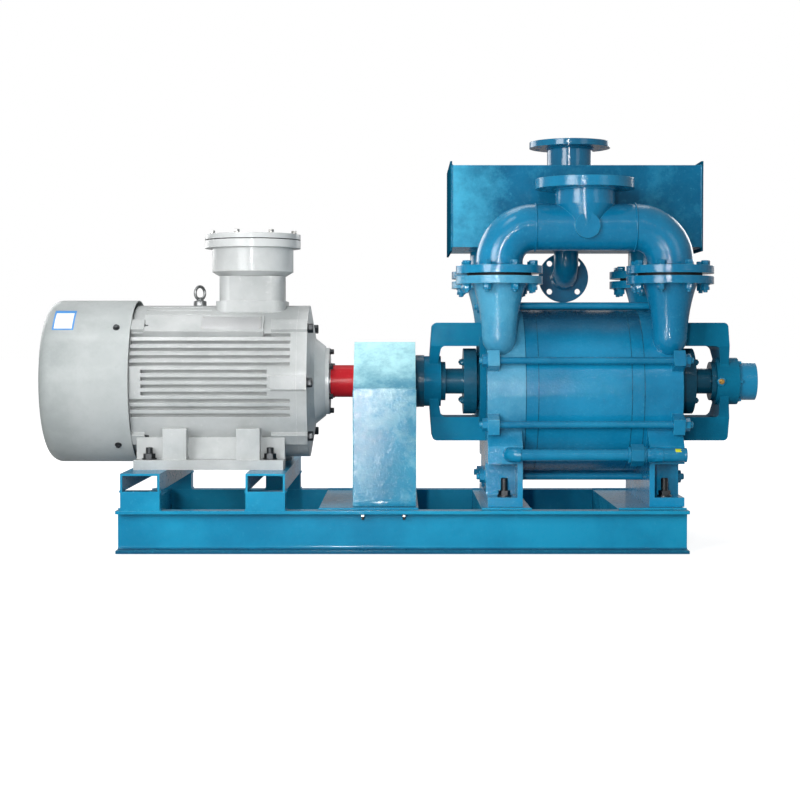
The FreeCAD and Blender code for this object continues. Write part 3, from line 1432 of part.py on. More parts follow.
def water_pipe():
    left = from_pump(-1, S.water_pipe_start)
    right = from_pump(1, S.cover_half_length)
    z = water_pipe_z
    valve_start = right - S.valve_length
    union_start = valve_start - S.union_position / 2
    pipe = tube(S.water_pipe_radius, S.water_pipe_bore_radius, valve_start - left, (left, pipe_y, z), ALONG_X)
    piece(pipe, "water_pipe")
    turn_radius = S.water_elbow_bend
    knee = bend(turn_radius, S.water_elbow_radius, 90, (left, pipe_y + turn_radius, z), HALF_TURN)
    stub = cylinder(S.water_elbow_radius, S.water_pipe_stand_off - turn_radius,
                    (left - turn_radius, pipe_y + turn_radius, z), ALONG_Y)
    piece(join([knee, stub]), "water_pipe_elbow")
    nut = hexagon(2 * S.union_radius, S.union_length, (union_start, pipe_y, z), ALONG_X)
    piece(cut(nut, [cylinder(S.water_pipe_radius, S.union_length, (union_start, pipe_y, z), ALONG_X)]),
          "water_pipe_union")
    valve = cylinder(S.valve_radius, S.valve_length, (valve_start, pipe_y, z), ALONG_X)
    valve_stub = cylinder(S.water_pipe_radius, S.water_pipe_stand_off,
                          (from_pump(1, pump_foot_x), pipe_y, z), ALONG_Y)
    piece(join([valve, valve_stub]), "water_valve")


rails()
cross_members()
motor_stools()
motor_frame()
motor_inside()
motor_shields()
motor_bearings()
motor_shaft()
fan_cowl()
terminal_box()
lifting_eye()
motor_foot_bolts()
coupling()
coupling_guard()
casing()
mirror_ends(port_plate)
mirror_ends(side_cover)
tie_rods()
pump_foot_bolts()
pump_rotor()
impeller()
glands()
mirror_ends(bearing_bracket)
pump_bearings()
suction_manifold()
port_gaskets()
discharge_risers()
separator_tank()
separator_outlet()
overflow_elbow()
water_pipe()
doc.recompute()

faults = []
for obj in doc.Objects:
    if "Invalid" in obj.State or "Error" in obj.State:
        faults.append("{} is {}".format(obj.Name, obj.State))
for obj in finished:
    if obj.Shape.isNull() or not obj.Shape.isValid() or not obj.Shape.Solids:
        faults.append("{} has no valid solid".format(obj.Label))
if faults:
    raise RuntimeError("; ".join(faults[:12]))

os.makedirs("parts", exist_ok=True)
for obj in finished:
    obj.Shape.exportStep("parts/{}.step".format(obj.Label))
print("{} sub-parts written".format(len(finished)))
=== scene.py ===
"""Looks of a liquid-ring vacuum pump set: finishes, fasteners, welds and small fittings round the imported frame.

Metres and degrees. +X runs along the shaft from the motor to the pump, +Y to the back, +Z up.
"""

import json
import math
import random

import bmesh
import bpy
from mathutils import Matrix, Vector, noise


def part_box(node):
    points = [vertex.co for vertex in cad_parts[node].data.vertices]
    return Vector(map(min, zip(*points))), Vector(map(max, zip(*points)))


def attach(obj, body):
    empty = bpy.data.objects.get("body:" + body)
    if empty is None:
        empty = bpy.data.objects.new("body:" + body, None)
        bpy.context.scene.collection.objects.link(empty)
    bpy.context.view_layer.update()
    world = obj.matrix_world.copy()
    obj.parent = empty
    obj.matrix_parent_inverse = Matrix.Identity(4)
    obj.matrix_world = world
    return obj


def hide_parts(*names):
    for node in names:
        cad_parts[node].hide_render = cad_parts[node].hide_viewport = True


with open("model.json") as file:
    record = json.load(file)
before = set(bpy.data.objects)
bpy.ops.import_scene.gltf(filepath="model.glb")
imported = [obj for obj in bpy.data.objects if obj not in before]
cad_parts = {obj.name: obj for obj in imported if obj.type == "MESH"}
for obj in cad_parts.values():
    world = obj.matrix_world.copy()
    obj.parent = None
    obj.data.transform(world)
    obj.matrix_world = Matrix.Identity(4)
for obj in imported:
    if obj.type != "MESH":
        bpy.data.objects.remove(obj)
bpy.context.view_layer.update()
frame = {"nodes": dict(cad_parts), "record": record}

# Places that the scene shares with the solids
SKID = "skid"
AXIS_Z = 0.474
CASING_Z = 0.446
PUMP_X = 0.525
PORT_X = 0.246
PORT_Y = 0.200
TERMINAL_X = -0.4475
OVERFLOW_X = 0.510

# Rings of bolts: count, radius, first angle
PORT_RING = (8, 0.103, 22.5)
TERMINAL_RING = (8, 0.131, 29)
MOTOR_BEARING_RING = (6, 0.088, 30)
GLAND_RING = (4, 0.080, 45)
DRIVE_COVER_RING = (6, 0.066, 30)
END_CAP_RING = (6, 0.0635, 0)

# Bolt heads and nuts: width across flats, height
PORT_HEAD = (0.022, 0.012)
PORT_NUT = (0.022, 0.015)
TERMINAL_HEAD = (0.015, 0.007)
MOTOR_BEARING_HEAD = (0.015, 0.009)
SHIELD_HEAD = (0.024, 0.014)
FAN_LUG_HEAD = (0.015, 0.008)
COWL_HEAD = (0.013, 0.006)
GLAND_NUT = (0.015, 0.006)
DRIVE_COVER_HEAD = (0.013, 0.007)
END_CAP_HEAD = (0.009, 0.006)
OIL_PLUG_HEAD = (0.012, 0.007)
GUARD_NUT = (0.012, 0.006)
WASHER = 0.003
THREAD_PITCH = 0.0025

# Motor
SHIELD_RIM_X = -0.276
SHIELD_LUG_ANGLES = (0, 45, 180, 135, -45, 225)
FAN_LUG_ANGLES = (45, 135, -45, 225)
FAN_LUG_LENGTH = 0.038
FAN_LUG_STEP = 0.004
LUG_BOLT_RADIUS = 0.222
COWL_RADIUS = 0.241
COWL_SCREW_ANGLES = (41, 139, -49, 229)
COWL_SCREW_INSET = 0.041
COWL_PLUG_INSET = 0.089
STICKER_SPAN = (0.036, 0.098)
STICKER_ANGLES = (39.0, 59.5)
PLATE_X = -0.497
PAD_ANGLE = 47.5
PAD_REACH = 0.233
PLATE_HALF = (0.027, 0.088)
PLATE_THICKNESS = 0.0012
RIVETS = (0.0225, 0.0835)
EYE_TURN = 50
EYE_RADIUS = 0.0195
EYE_BAR = 0.0045
CABLE_NUT_CORNER = 0.026

# Foot bolts and tie rods
FOOT_NUT = 0.017
FOOT_NUT_CORNER = 0.01732
FOOT_NUT_FLAT = 0.015
FOOT_WASHER = (0.021, 0.0035)
FOOT_THREAD = 0.0106
PUMP_BOLT_RISE = 0.052
ROD_CIRCLE = 0.268
ROD_ANGLE = 20
ROD_NUT = 0.016
ROD_THREAD = (0.0098, 0.009)
ROD_WASHER = (0.0205, 0.0032)

# Pump and pipes
PORT_FLANGE = 0.022
PORT_STUD = 0.007
OIL_PLUG = (0.945, -0.0725)
CASING_RADIUS = 0.240
CASING_JOINTS = (0.134, 0.170)
JOINT_PROUD = 0.0004
JOINT_DEPTH = 0.002
JOINT_HALF = 0.0011
PACKING_RADIUS = 0.0196
PACKING_LUMP = 0.0026
MARK_RADIUS = 0.0192

# Frame and guard
RAIL_FLANGE_UNDERSIDE = 0.111
GUARD_BOLTS = ((-0.111, 0.370), (0.004, 0.370))
GUARD_FOLD = 0.022
STOOL_WIDTH = 0.110
MEMBER_SPANS = ((-0.800, -0.740), (-0.237, 0.045), (0.224, 0.364), (0.609, 0.800))

# Welds: thickness of the beads, and radii and places of the rings
TANK_BEAD = 0.0028
BEND_BEAD = 0.0030
FILLET_BEAD = 0.0035
RING_BEAD = 0.0040
NECK_BEAD = 0.0045
BEAD_SIDES = 8
TANK_SEAM_INSET = 0.0034
OUTLET_RING = 0.071
RISER_RING = 0.0685
OVERFLOW_RING = 0.039
BEND_RING = 0.0675
LOWER_RING = 0.0690
TOP_RING = 0.0860
MANIFOLD_RISE = 0.134
BEND_RUN = 0.103
BEND_DROP = 0.111
MEMBER_SEAM_INSET = 0.004
PACKER_SEAM = (0.005, 0.050)

# Camera, light and floor
CAMERA_PLACE = (-0.007, -5.164, 0.582)
CAMERA_PITCH = 1.83
LENS = 77.4
AMBIENT = 0.14
MIRRORED = 0.35
MIRRORED_FLOOR = 0.12
FLOOR_TONE = 0.42
FLOOR_FADE = (1.0, 4.5)
FLOOR_GLOW = (0.84, 0.99)
FLOOR_DEPTH = 0.001
FLOOR_SIZE = 60

# Area lamps: name, place, aim, size, watts, spread
LAMPS = (
    ("overhead", (-1.2, -1.3, 3.3), (-0.75, 0.0, 0.5), (0.9, 0.9), 2.6, 50),
    ("top_strip", (-0.9, 0.55, 3.6), (-0.7, 0.0, 0.6), (1.6, 0.5), 1.6, 60),
    ("front_high", (-0.3, -3.8, 2.6), (0.0, 0.0, 0.6), (4.6, 0.06), 10, 180),
    ("front_strip", (-0.36, -5.6, 1.15), (0.0, 0.0, 0.6), (0.12, 1.9), 100, 180),
    ("low_strip", (-0.20, -1.9, 0.36), (0.2, 0.0, 1.1), (0.06, 0.70), 6, 180),
    ("left_key", (-2.5, -4.4, 1.5), (-0.2, 0.0, 0.5), (2.0, 1.8), 128, 180),
    ("motor_fill", (1.1, -3.2, 1.5), (-0.45, 0.0, 0.6), (0.5, 0.5), 0.40, 24),
    ("right_fill", (3.2, -3.6, 1.8), (0.0, 0.0, 0.5), (1.4, 1.4), 9, 180),
    ("rear_left", (-3.6, 4.0, 2.4), (-0.2, 0.0, 0.5), (3.4, 2.8), 110, 180),
    ("rear_right", (3.4, 4.4, 2.5), (0.3, 0.0, 0.5), (3.4, 2.8), 100, 180),
    ("roof", (0.4, 1.4, 3.4), (0.2, 0.2, 0.5), (2.4, 1.0), 14, 180),
)

# Directions of a local +Z
UP = Matrix.Identity(4)
DOWN = Matrix.Rotation(math.radians(180), 4, "X")
ALONG_X = Matrix.Rotation(math.radians(90), 4, "Y")
AGAINST_X = Matrix.Rotation(math.radians(-90), 4, "Y")
ALONG_Y = Matrix.Rotation(math.radians(-90), 4, "X")
AGAINST_Y = Matrix.Rotation(math.radians(90), 4, "X")


# Finishes

class Shader:
    """A material under construction. Sockets and plain values both go in as inputs."""

    def __init__(self, name):
        self.material = bpy.data.materials.new(name)
        self.material.use_nodes = True
        self.tree = self.material.node_tree
        self.tree.nodes.clear()
        self.place = self.add("ShaderNodeTexCoord").outputs["Object"]

    def add(self, kind, inputs=None, **settings):
        node = self.tree.nodes.new(kind)
        for key, value in settings.items():
            setattr(node, key, value)
        for key, value in (inputs or {}).items():
            if isinstance(value, bpy.types.NodeSocket):
                self.tree.links.new(value, node.inputs[key])
            else:
                node.inputs[key].default_value = value
        return node

    def noise(self, scale, detail, roughness=0.6, stretch=(1, 1, 1)):
        spot = self.place
        if stretch != (1, 1, 1):
            spot = self.add("ShaderNodeMapping", {"Vector": spot, "Scale": stretch}).outputs["Vector"]
        return self.add("ShaderNodeTexNoise", {
            "Vector": spot, "Scale": scale, "Detail": detail, "Roughness": roughness}).outputs["Fac"]

    def between(self, value, low, high, to_low=0.0, to_high=1.0):
        return self.add("ShaderNodeMapRange", {
            "Value": value, "From Min": low, "From Max": high, "To Min": to_low, "To Max": to_high},
            interpolation_type="SMOOTHSTEP").outputs["Result"]

    def math(self, operation, first, second):
        return self.add("ShaderNodeMath", {0: first, 1: second}, operation=operation).outputs[0]

    def mix(self, factor, first, second):
        node = self.add("ShaderNodeMix", {"Factor": factor, "A": first, "B": second}, data_type="RGBA")
        return node.outputs["Result"]

    def finish(self, **inputs):
        names = {"color": "Base Color", "metal": "Metallic", "rough": "Roughness", "normal": "Normal",
                 "shine": "Specular IOR Level", "coat": "Coat Weight", "coat_rough": "Coat Roughness",
                 "coat_normal": "Coat Normal"}
        body = self.add("ShaderNodeBsdfPrincipled", {names[key]: value for key, value in inputs.items()})
        self.add("ShaderNodeOutputMaterial", {"Surface": body.outputs[0]})
        return self.material


def color(red, green, blue):
    return (red, green, blue, 1.0)


# Scales of the noise, from wide clouds to fine peel
CLOUDS = 3.2
SOIL = 9
BLOTCHES = 11
DUST = 14
LUMPS = 42
GRAIN = 70
SHEET_GRAIN = 90
TOOL_MARKS = 120
PEEL = 190

WORN_EDGE = 0.0022
MACHINED_EDGE = 0.0012
# Tone of the darker band: painted shade on the casing's top, and the frame's darker bottom edge
DARK_BAND_TONE = color(0.002, 0.050, 0.110)
DUST_TONE = color(0.62, 0.62, 0.58)


def paint(name, shade, base, wear_and_painted_light, lump=0.35, peel=0.25, rough=0.28, coat=0.4, shine=0.05, dust=0.06,
          painted_light=None, along="Z", painted_light_strength=0.55, dark_band=None):
    """Enamel over metal: cloudy tone, thin paint on the edges, dust on top, and the casting's grain.

    Two optional pairs of places: between the first, along the given axis, the paint turns towards the third
    colour as painted light, a painted highlight or painted shade; between the second, in height, it turns darker.
    """
    s = Shader(name)
    soft_edge = s.add("ShaderNodeBevel", {"Radius": WORN_EDGE}, samples=6).outputs["Normal"]
    geometry = s.add("ShaderNodeNewGeometry")
    flatness = s.add("ShaderNodeVectorMath", {0: soft_edge, 1: geometry.outputs["Normal"]},
                     operation="DOT_PRODUCT").outputs["Value"]
    edge = s.between(flatness, 0.80, 0.995, 1.0, 0.0)
    cloud = s.between(s.noise(CLOUDS, 5), 0.36, 0.64)
    grain = s.noise(GRAIN, 6, 0.72)
    tone = s.mix(cloud, shade, base)
    # Painted light: between the two places the paint turns towards the third colour, as a painted highlight or
    # painted shade, broken up by patches
    if painted_light:
        run = s.add("ShaderNodeSeparateXYZ", {0: s.place}).outputs[along]
        patches = s.between(s.noise(BLOTCHES, 6, 0.7), 0.35, 0.65, -0.3, 0.2)
        painted_light_mask = s.math("ADD", s.between(run, *painted_light), patches)
        tone = s.mix(s.math("MULTIPLY", painted_light_mask, painted_light_strength), tone, wear_and_painted_light)
    # Darker towards one height: painted shade on the casing's top, and a darker bottom edge on the frame
    if dark_band:
        height = s.add("ShaderNodeSeparateXYZ", {0: s.place}).outputs["Z"]
        tone = s.mix(s.math("MULTIPLY", s.between(height, *dark_band), 0.8), tone, DARK_BAND_TONE)
    tone = s.mix(s.between(grain, 0.56, 0.76, 0.0, 0.3), tone, wear_and_painted_light)
    tone = s.mix(s.math("MULTIPLY", edge, s.between(grain, 0.35, 0.6, 0.15, 0.8)), tone, wear_and_painted_light)
    upward = s.add("ShaderNodeSeparateXYZ", {0: geometry.outputs["Normal"]}).outputs["Z"]
    dusty = s.math("MULTIPLY", s.between(upward, 0.5, 1.0, 0.0, dust), s.noise(DUST, 5))
    tone = s.mix(dusty, tone, DUST_TONE)
    coarse = s.math("MULTIPLY", s.noise(LUMPS, 5, 0.62), lump)
    fine = s.math("MULTIPLY", s.noise(PEEL, 3, 0.5), peel)
    normal = s.add("ShaderNodeBump", {
        "Strength": 0.6, "Distance": 0.0016, "Height": s.math("ADD", coarse, fine),
        "Normal": soft_edge}).outputs[0]
    return s.finish(color=tone, rough=s.between(grain, 0.3, 0.7, rough * 0.75, rough * 1.45), normal=normal,
                    shine=shine, coat=coat, coat_rough=0.07, coat_normal=normal)


def metal(name, base, streak, rough=0.32, stretch=(1, 1, 1), metallic=1.0):
    """Bare machined or cast metal with fine tool marks and a little soiling."""
    s = Shader(name)
    marks = s.noise(TOOL_MARKS, 5, 0.65, stretch)
    soil = s.between(s.noise(SOIL, 5), 0.45, 0.72)
    tone = s.mix(s.math("MULTIPLY", soil, 0.5), s.mix(marks, base, streak), streak)
    soft_edge = s.add("ShaderNodeBevel", {"Radius": MACHINED_EDGE}, samples=4).outputs["Normal"]
    normal = s.add("ShaderNodeBump", {"Strength": 0.3, "Distance": 0.0006, "Height": marks,
                                      "Normal": soft_edge}).outputs[0]
    return s.finish(color=tone, metal=metallic, rough=s.between(marks, 0.3, 0.7, rough * 0.8, rough * 1.3),
                    normal=normal)


def plain(name, base, other, rough, coat=0.0):
    """Gasket, sheet, print or paint mark: a quiet surface with a little grain."""
    s = Shader(name)
    grain = s.noise(SHEET_GRAIN, 5, 0.6)
    normal = s.add("ShaderNodeBump", {"Strength": 0.4, "Distance": 0.0005, "Height": grain}).outputs[0]
    return s.finish(color=s.mix(s.between(grain, 0.35, 0.7), base, other), normal=normal, coat=coat,
                    rough=s.between(grain, 0.3, 0.7, rough * 0.85, min(1.0, rough * 1.15)))


# What each material slot looks like
FINISH = {
    # Darker along the bottom edge of the rails
    "frame_blue": paint("frame_enamel", color(0.004, 0.195, 0.355), color(0.009, 0.275, 0.465),
                        color(0.05, 0.42, 0.60), lump=0.14, peel=0.2, rough=0.3, coat=0.3,
                        dark_band=(0.016, 0.008)),
    "pump_blue": paint("casting_enamel", color(0.003, 0.165, 0.325), color(0.006, 0.245, 0.455),
                       color(0.05, 0.44, 0.64), lump=0.6, peel=0.5, rough=0.26, coat=0.8),
    "steel_blue": paint("pipe_enamel", color(0.003, 0.145, 0.285), color(0.006, 0.225, 0.410),
                        color(0.04, 0.40, 0.58), lump=0.22, peel=0.3, rough=0.26, coat=0.8),
    # Paler towards the top: a painted highlight on the guard's upper panel
    "guard_blue": paint("guard_enamel", color(0.009, 0.170, 0.295), color(0.026, 0.265, 0.425),
                        color(0.50, 0.86, 0.90), lump=0.6, peel=0.3, rough=0.3, coat=0.6,
                        painted_light=(0.36, 0.60), painted_light_strength=0.9),
    "motor_grey": paint("motor_enamel", color(0.35, 0.37, 0.37), color(0.49, 0.51, 0.51),
                        color(0.70, 0.71, 0.71), lump=0.45, peel=0.3, rough=0.34, coat=0.35, dust=0.0),
    # Darker towards the fan end: painted shade on the cowl
    "cowl_grey": paint("cowl_enamel", color(0.39, 0.42, 0.42), color(0.45, 0.48, 0.48),
                       color(0.30, 0.33, 0.33), lump=0.05, peel=0.12, rough=0.36, coat=0.1, dust=0.0,
                       painted_light=(-0.84, -1.06), along="X", painted_light_strength=0.75),
    "coupling_red": paint("red_enamel", color(0.42, 0.012, 0.020), color(0.52, 0.020, 0.028),
                          color(0.62, 0.10, 0.10), lump=0.1, peel=0.15, rough=0.34, coat=0.06, dust=0.0),
    "steel": metal("machined_steel", color(0.46, 0.47, 0.48), color(0.30, 0.31, 0.32), stretch=(8, 1, 1)),
    "gasket_black": plain("gasket_sheet", color(0.012, 0.012, 0.013), color(0.035, 0.035, 0.035), 0.7),
    "copper": metal("varnished_winding", color(0.55, 0.24, 0.10), color(0.35, 0.13, 0.05), 0.35,
                    stretch=(30, 1, 1)),
    "fan_alloy": metal("cast_alloy", color(0.60, 0.61, 0.62), color(0.42, 0.43, 0.44), 0.45),
    "impeller_iron": metal("cast_impeller", color(0.20, 0.20, 0.21), color(0.10, 0.10, 0.11), 0.5,
                           metallic=0.7),
}
# A darker copy of the blue: painted shade on the sleeves, glands, nuts and caps inside the bearing brackets and
# on the drive cover under the guard. It also draws the dark casing seams.
SHADE_AND_SEAM_ENAMEL = paint("shade_and_seam_enamel", color(0.004, 0.070, 0.125), color(0.007, 0.110, 0.190),
                    color(0.03, 0.20, 0.32), lump=0.4, peel=0.4, rough=0.24)
BRASS = metal("brass", color(0.70, 0.44, 0.12), color(0.45, 0.26, 0.07), 0.28)
ZINC = metal("zinc_plate", color(0.62, 0.62, 0.60), color(0.40, 0.40, 0.38), 0.34)
DARK_STEEL = metal("dark_steel", color(0.085, 0.09, 0.095), color(0.045, 0.048, 0.05), 0.38)
WORN_STEEL = metal("worn_steel", color(0.34, 0.35, 0.35), color(0.16, 0.165, 0.17), 0.42)
LABEL_WHITE = plain("label_white", color(0.78, 0.80, 0.80), color(0.84, 0.85, 0.85), 0.35, coat=0.2)
LABEL_BLUE = plain("label_blue", color(0.02, 0.22, 0.62), color(0.03, 0.27, 0.68), 0.35, coat=0.2)
MARKER_YELLOW = plain("marker_yellow", color(0.62, 0.70, 0.02), color(0.75, 0.80, 0.05), 0.5)
PLATE_SILVER = metal("plate_silver", color(0.50, 0.51, 0.51), color(0.40, 0.41, 0.42), 0.46,
                     stretch=(20, 1, 1), metallic=0.35)
# A duller, darker copy of the casting blue for the bearing brackets: the low gloss is the paint's own, the darker
# colour is painted shade on their faces.
DULL_SHADED_ENAMEL = paint("dull_shaded_enamel", color(0.003, 0.120, 0.225), color(0.005, 0.180, 0.320),
                    color(0.03, 0.30, 0.44), lump=0.5, peel=0.4, rough=0.5, coat=0.12, shine=0.0)
# A near-navy, matt copy of the blue for the tank's end plates: painted shade on their side faces.
SHADED_PLATE_ENAMEL = paint("shaded_plate_enamel", color(0.002, 0.060, 0.115), color(0.003, 0.090, 0.165),
                     color(0.03, 0.22, 0.34), lump=0.2, peel=0.3, rough=0.6, coat=0.0, shine=0.0)
# A darker blue that turns pale towards the tank's left end: a painted sheen.
TANK_ENAMEL = paint("tank_enamel", color(0.002, 0.115, 0.235), color(0.004, 0.165, 0.325),
                    color(0.07, 0.50, 0.74), lump=0.22, peel=0.3, rough=0.26, coat=0.3,
                    painted_light=(0.40, 0.08), along="X", painted_light_strength=0.75)
# Darker on the casing's top: painted shade under the tank and the manifold.
CASING_ENAMEL = paint("casing_enamel", color(0.003, 0.175, 0.340), color(0.007, 0.255, 0.470),
                      color(0.05, 0.44, 0.64), lump=0.9, peel=0.9, rough=0.24, coat=0.9,
                      dark_band=(0.56, 0.68))
# Paler above the foot of the drive-side cover, over its front and neck: a painted highlight.
COVER_ENAMEL = paint("cover_enamel", color(0.003, 0.165, 0.325), color(0.006, 0.245, 0.455),
                     color(0.20, 0.58, 0.76), lump=0.9, peel=0.9, rough=0.26, coat=0.8,
                     painted_light=(0.22, 0.46), painted_light_strength=0.3)
# A lighter copy of the motor's grey for the terminal box: painted light.
LIT_DRUM_ENAMEL = paint("lit_drum_enamel", color(0.44, 0.46, 0.46), color(0.57, 0.59, 0.59),
                    color(0.68, 0.69, 0.69), lump=0.45, peel=0.3, rough=0.34, coat=0.35, dust=0.0)

# Nodes whose paint or metal differs from the rest of their slot
OWN_FINISH = {
    # Painted light: a lighter copy of the motor's grey on the terminal box
    "terminal_box_body": LIT_DRUM_ENAMEL,
    "terminal_box_cover": LIT_DRUM_ENAMEL,
    # Painted highlight: paler above the cover's foot
    "drive_side_cover": COVER_ENAMEL,
    # Painted shade on the casing's top
    "pump_casing": CASING_ENAMEL,
    "drive_port_plate": CASING_ENAMEL,
    "free_port_plate": CASING_ENAMEL,
    # Painted sheen towards the tank's left end
    "separator_tank": TANK_ENAMEL,
    # Painted shade: a near-navy copy of the blue on the end plates
    "separator_end_plates": SHADED_PLATE_ENAMEL,
    # Painted shade: a duller, darker copy of the blue on the bearing brackets
    "drive_bearing_bracket": DULL_SHADED_ENAMEL,
    "free_bearing_bracket": DULL_SHADED_ENAMEL,
    # Painted shade: a darker copy of the blue on the parts inside the brackets and on the drive cover
    "shaft_sleeves": SHADE_AND_SEAM_ENAMEL,
    "gland_followers": SHADE_AND_SEAM_ENAMEL,
    "inner_bearing_caps": SHADE_AND_SEAM_ENAMEL,
    "drive_bearing_cover": SHADE_AND_SEAM_ENAMEL,
    "motor_foot_bolts": DARK_STEEL,
    "pump_foot_bolts": DARK_STEEL,
}

slot_of = {part["node"]: part["material_slot"] for part in frame["record"]["subparts"]}
for node, cad in frame["nodes"].items():
    for place in cad.material_slots:
        place.material = OWN_FINISH.get(node, FINISH[slot_of[node]])


# Shapes. Each function adds to a mesh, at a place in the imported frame.

def spot(x, y, z, turn=UP):
    return Matrix.Translation((x, y, z)) @ turn


def raised(at, height):
    return at @ Matrix.Translation((0, 0, height))


def out_from_axis(x, radius, angle):
    """A place round the shaft axis that faces outward, at an angle from -Y (the front) up towards +Z."""
    turn = math.radians(angle)
    away = Vector((0, -math.cos(turn), math.sin(turn)))
    facing = away.to_track_quat("Z", "X").to_matrix().to_4x4()
    return Matrix.Translation(Vector((x, 0, AXIS_Z)) + away * radius) @ facing


def lathe(mesh, at, profile, sides):
    """Turn (radius, height) pairs about the local Z axis."""
    rings = []
    for radius, height in profile:
        if radius < 1e-6:
            rings.append([mesh.verts.new(at @ Vector((0, 0, height)))])
            continue
        rings.append([mesh.verts.new(at @ Vector((radius * math.cos(2 * math.pi * k / sides),
                                                   radius * math.sin(2 * math.pi * k / sides), height)))
                      for k in range(sides)])
    for low, high in zip(rings, rings[1:]):
        for k in range(sides):
            after = (k + 1) % sides
            corners = [low[k % len(low)], low[after % len(low)], high[after % len(high)], high[k % len(high)]]
            corners = list(dict.fromkeys(corners))
            if len(corners) > 2:
                mesh.faces.new(corners)


def tube(mesh, rings):
    """Join each ring of points to the next one."""
    for first, second in zip(rings, rings[1:]):
        for k in range(len(first)):
            after = (k + 1) % len(first)
            mesh.faces.new([first[k], first[after], second[after], second[k]])


def ribbon(mesh, rows):
    """Join each pair of points to the next one."""
    for first, second in zip(rows, rows[1:]):
        mesh.faces.new([first[0], first[1], second[1], second[0]])


def block(mesh, low, high, bevel, at=UP):
    """A box with rounded edges between two corners."""
    made = bmesh.ops.create_cube(mesh, size=1.0)["verts"]
    low, high = Vector(low), Vector(high)
    size, middle = high - low, (low + high) / 2
    for vert in made:
        vert.co = at @ (middle + Vector([vert.co[i] * size[i] for i in range(3)]))
    edges = {edge for vert in made for edge in vert.link_edges}
    bmesh.ops.bevel(mesh, geom=list(edges), offset=bevel, segments=2, profile=0.5, affect="EDGES")


def hexagon(mesh, at, flats, height, turn=0.0):
    """A chamfered hexagon, as on a bolt head or a nut."""
    corner = flats / math.sqrt(3)
    spin = at @ Matrix.Rotation(turn, 4, "Z")
    lathe(mesh, spin, [(0, 0), (corner * 0.93, 0), (corner, height * 0.10), (corner, height * 0.86),
                       (corner * 0.90, height), (0, height)], sides=6)


def thread(mesh, at, radius, length):
    """A stud's end, with its thread as closed ridges."""
    profile = [(0, 0), (radius * 0.9, 0)]
    turns = max(1, int(length / THREAD_PITCH))
    for number in range(turns):
        height = number * length / turns
        profile += [(radius * 0.88, height + THREAD_PITCH * 0.1), (radius, height + THREAD_PITCH * 0.55)]
    profile += [(radius * 0.8, length), (0, length)]
    lathe(mesh, at, profile, sides=20)


def washer(mesh, at, radius, thickness=WASHER):
    lathe(mesh, at, [(0, 0), (radius, 0), (radius, thickness * 0.8), (radius * 0.97, thickness),
                     (0, thickness)], sides=28)


def bolt(mesh, at, flats, height, rim=None, stud=0.0, turn=0.0):
    """A washer with a hexagon on it, and a stud's end where one shows."""
    washer(mesh, at, rim or flats * 0.62)
    hexagon(mesh, raised(at, WASHER), flats, height, turn)
    if stud:
        thread(mesh, raised(at, WASHER + height * 0.98), flats * 0.31, stud)


def ring_points(count, radius, first):
    return [(radius * math.cos(math.radians(first) + 2 * math.pi * k / count),
             radius * math.sin(math.radians(first) + 2 * math.pi * k / count)) for k in range(count)]


def circle(at, radius, count=48):
    return [at @ Vector((radius * math.cos(2 * math.pi * k / count),
                         radius * math.sin(2 * math.pi * k / count), 0)) for k in range(count)]


def bead(mesh, points, radius, seed, closed=False):
    """A weld bead along points, with the ripples of its passes."""
    dice = random.Random(seed)
    step = radius * 0.55
    path = []
    pairs = list(zip(points, points[1:] + points[:1])) if closed else list(zip(points, points[1:]))
    for start, end in pairs:
        start, end = Vector(start), Vector(end)
        count = max(1, int((end - start).length / step))
        path += [start.lerp(end, k / count) for k in range(count)]
    if not closed:
        path.append(Vector(points[-1]))
    rings = []
    total = len(path)
    for k, here in enumerate(path):
        ahead = path[(k + 1) % total] if closed or k + 1 < total else here
        behind = path[k - 1] if closed or k else here
        along = (ahead - behind).normalized()
        side = along.orthogonal().normalized()
        up = along.cross(side)
        swell = radius * (0.92 + 0.16 * (k % 3 == 0) + dice.uniform(-0.08, 0.08))
        rings.append([mesh.verts.new(here + (side * math.cos(a) + up * math.sin(a)) * swell)
                      for a in [2 * math.pi * j / BEAD_SIDES for j in range(BEAD_SIDES)]])
    pairs = list(zip(rings, rings[1:] + rings[:1])) if closed else list(zip(rings, rings[1:]))
    for first, second in pairs:
        # Where a ring's first point jumps round the bead, the nearest points are joined.
        shift = min(range(BEAD_SIDES), key=lambda s: (first[0].co - second[s].co).length)
        for j in range(BEAD_SIDES):
            mesh.faces.new([first[j], first[(j + 1) % BEAD_SIDES],
                            second[(j + 1 + shift) % BEAD_SIDES], second[(j + shift) % BEAD_SIDES]])
    if not closed:
        mesh.faces.new(rings[0][::-1])
        mesh.faces.new(rings[-1])


def add_piece(name, mesh, finish, body=SKID, angle=35, replaces=()):
    """Turn a finished mesh into a shown piece that rides on a body."""
    bmesh.ops.recalc_face_normals(mesh, faces=mesh.faces)
    data = bpy.data.meshes.new(name)
    mesh.to_mesh(data)
    mesh.free()
    obj = bpy.data.objects.new(name, data)
    bpy.context.scene.collection.objects.link(obj)
    data.materials.append(finish)
    data.shade_smooth()
    data.set_sharp_from_angle(angle=math.radians(angle))
    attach(obj, body)
    if replaces:
        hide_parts(*replaces)


# Fasteners

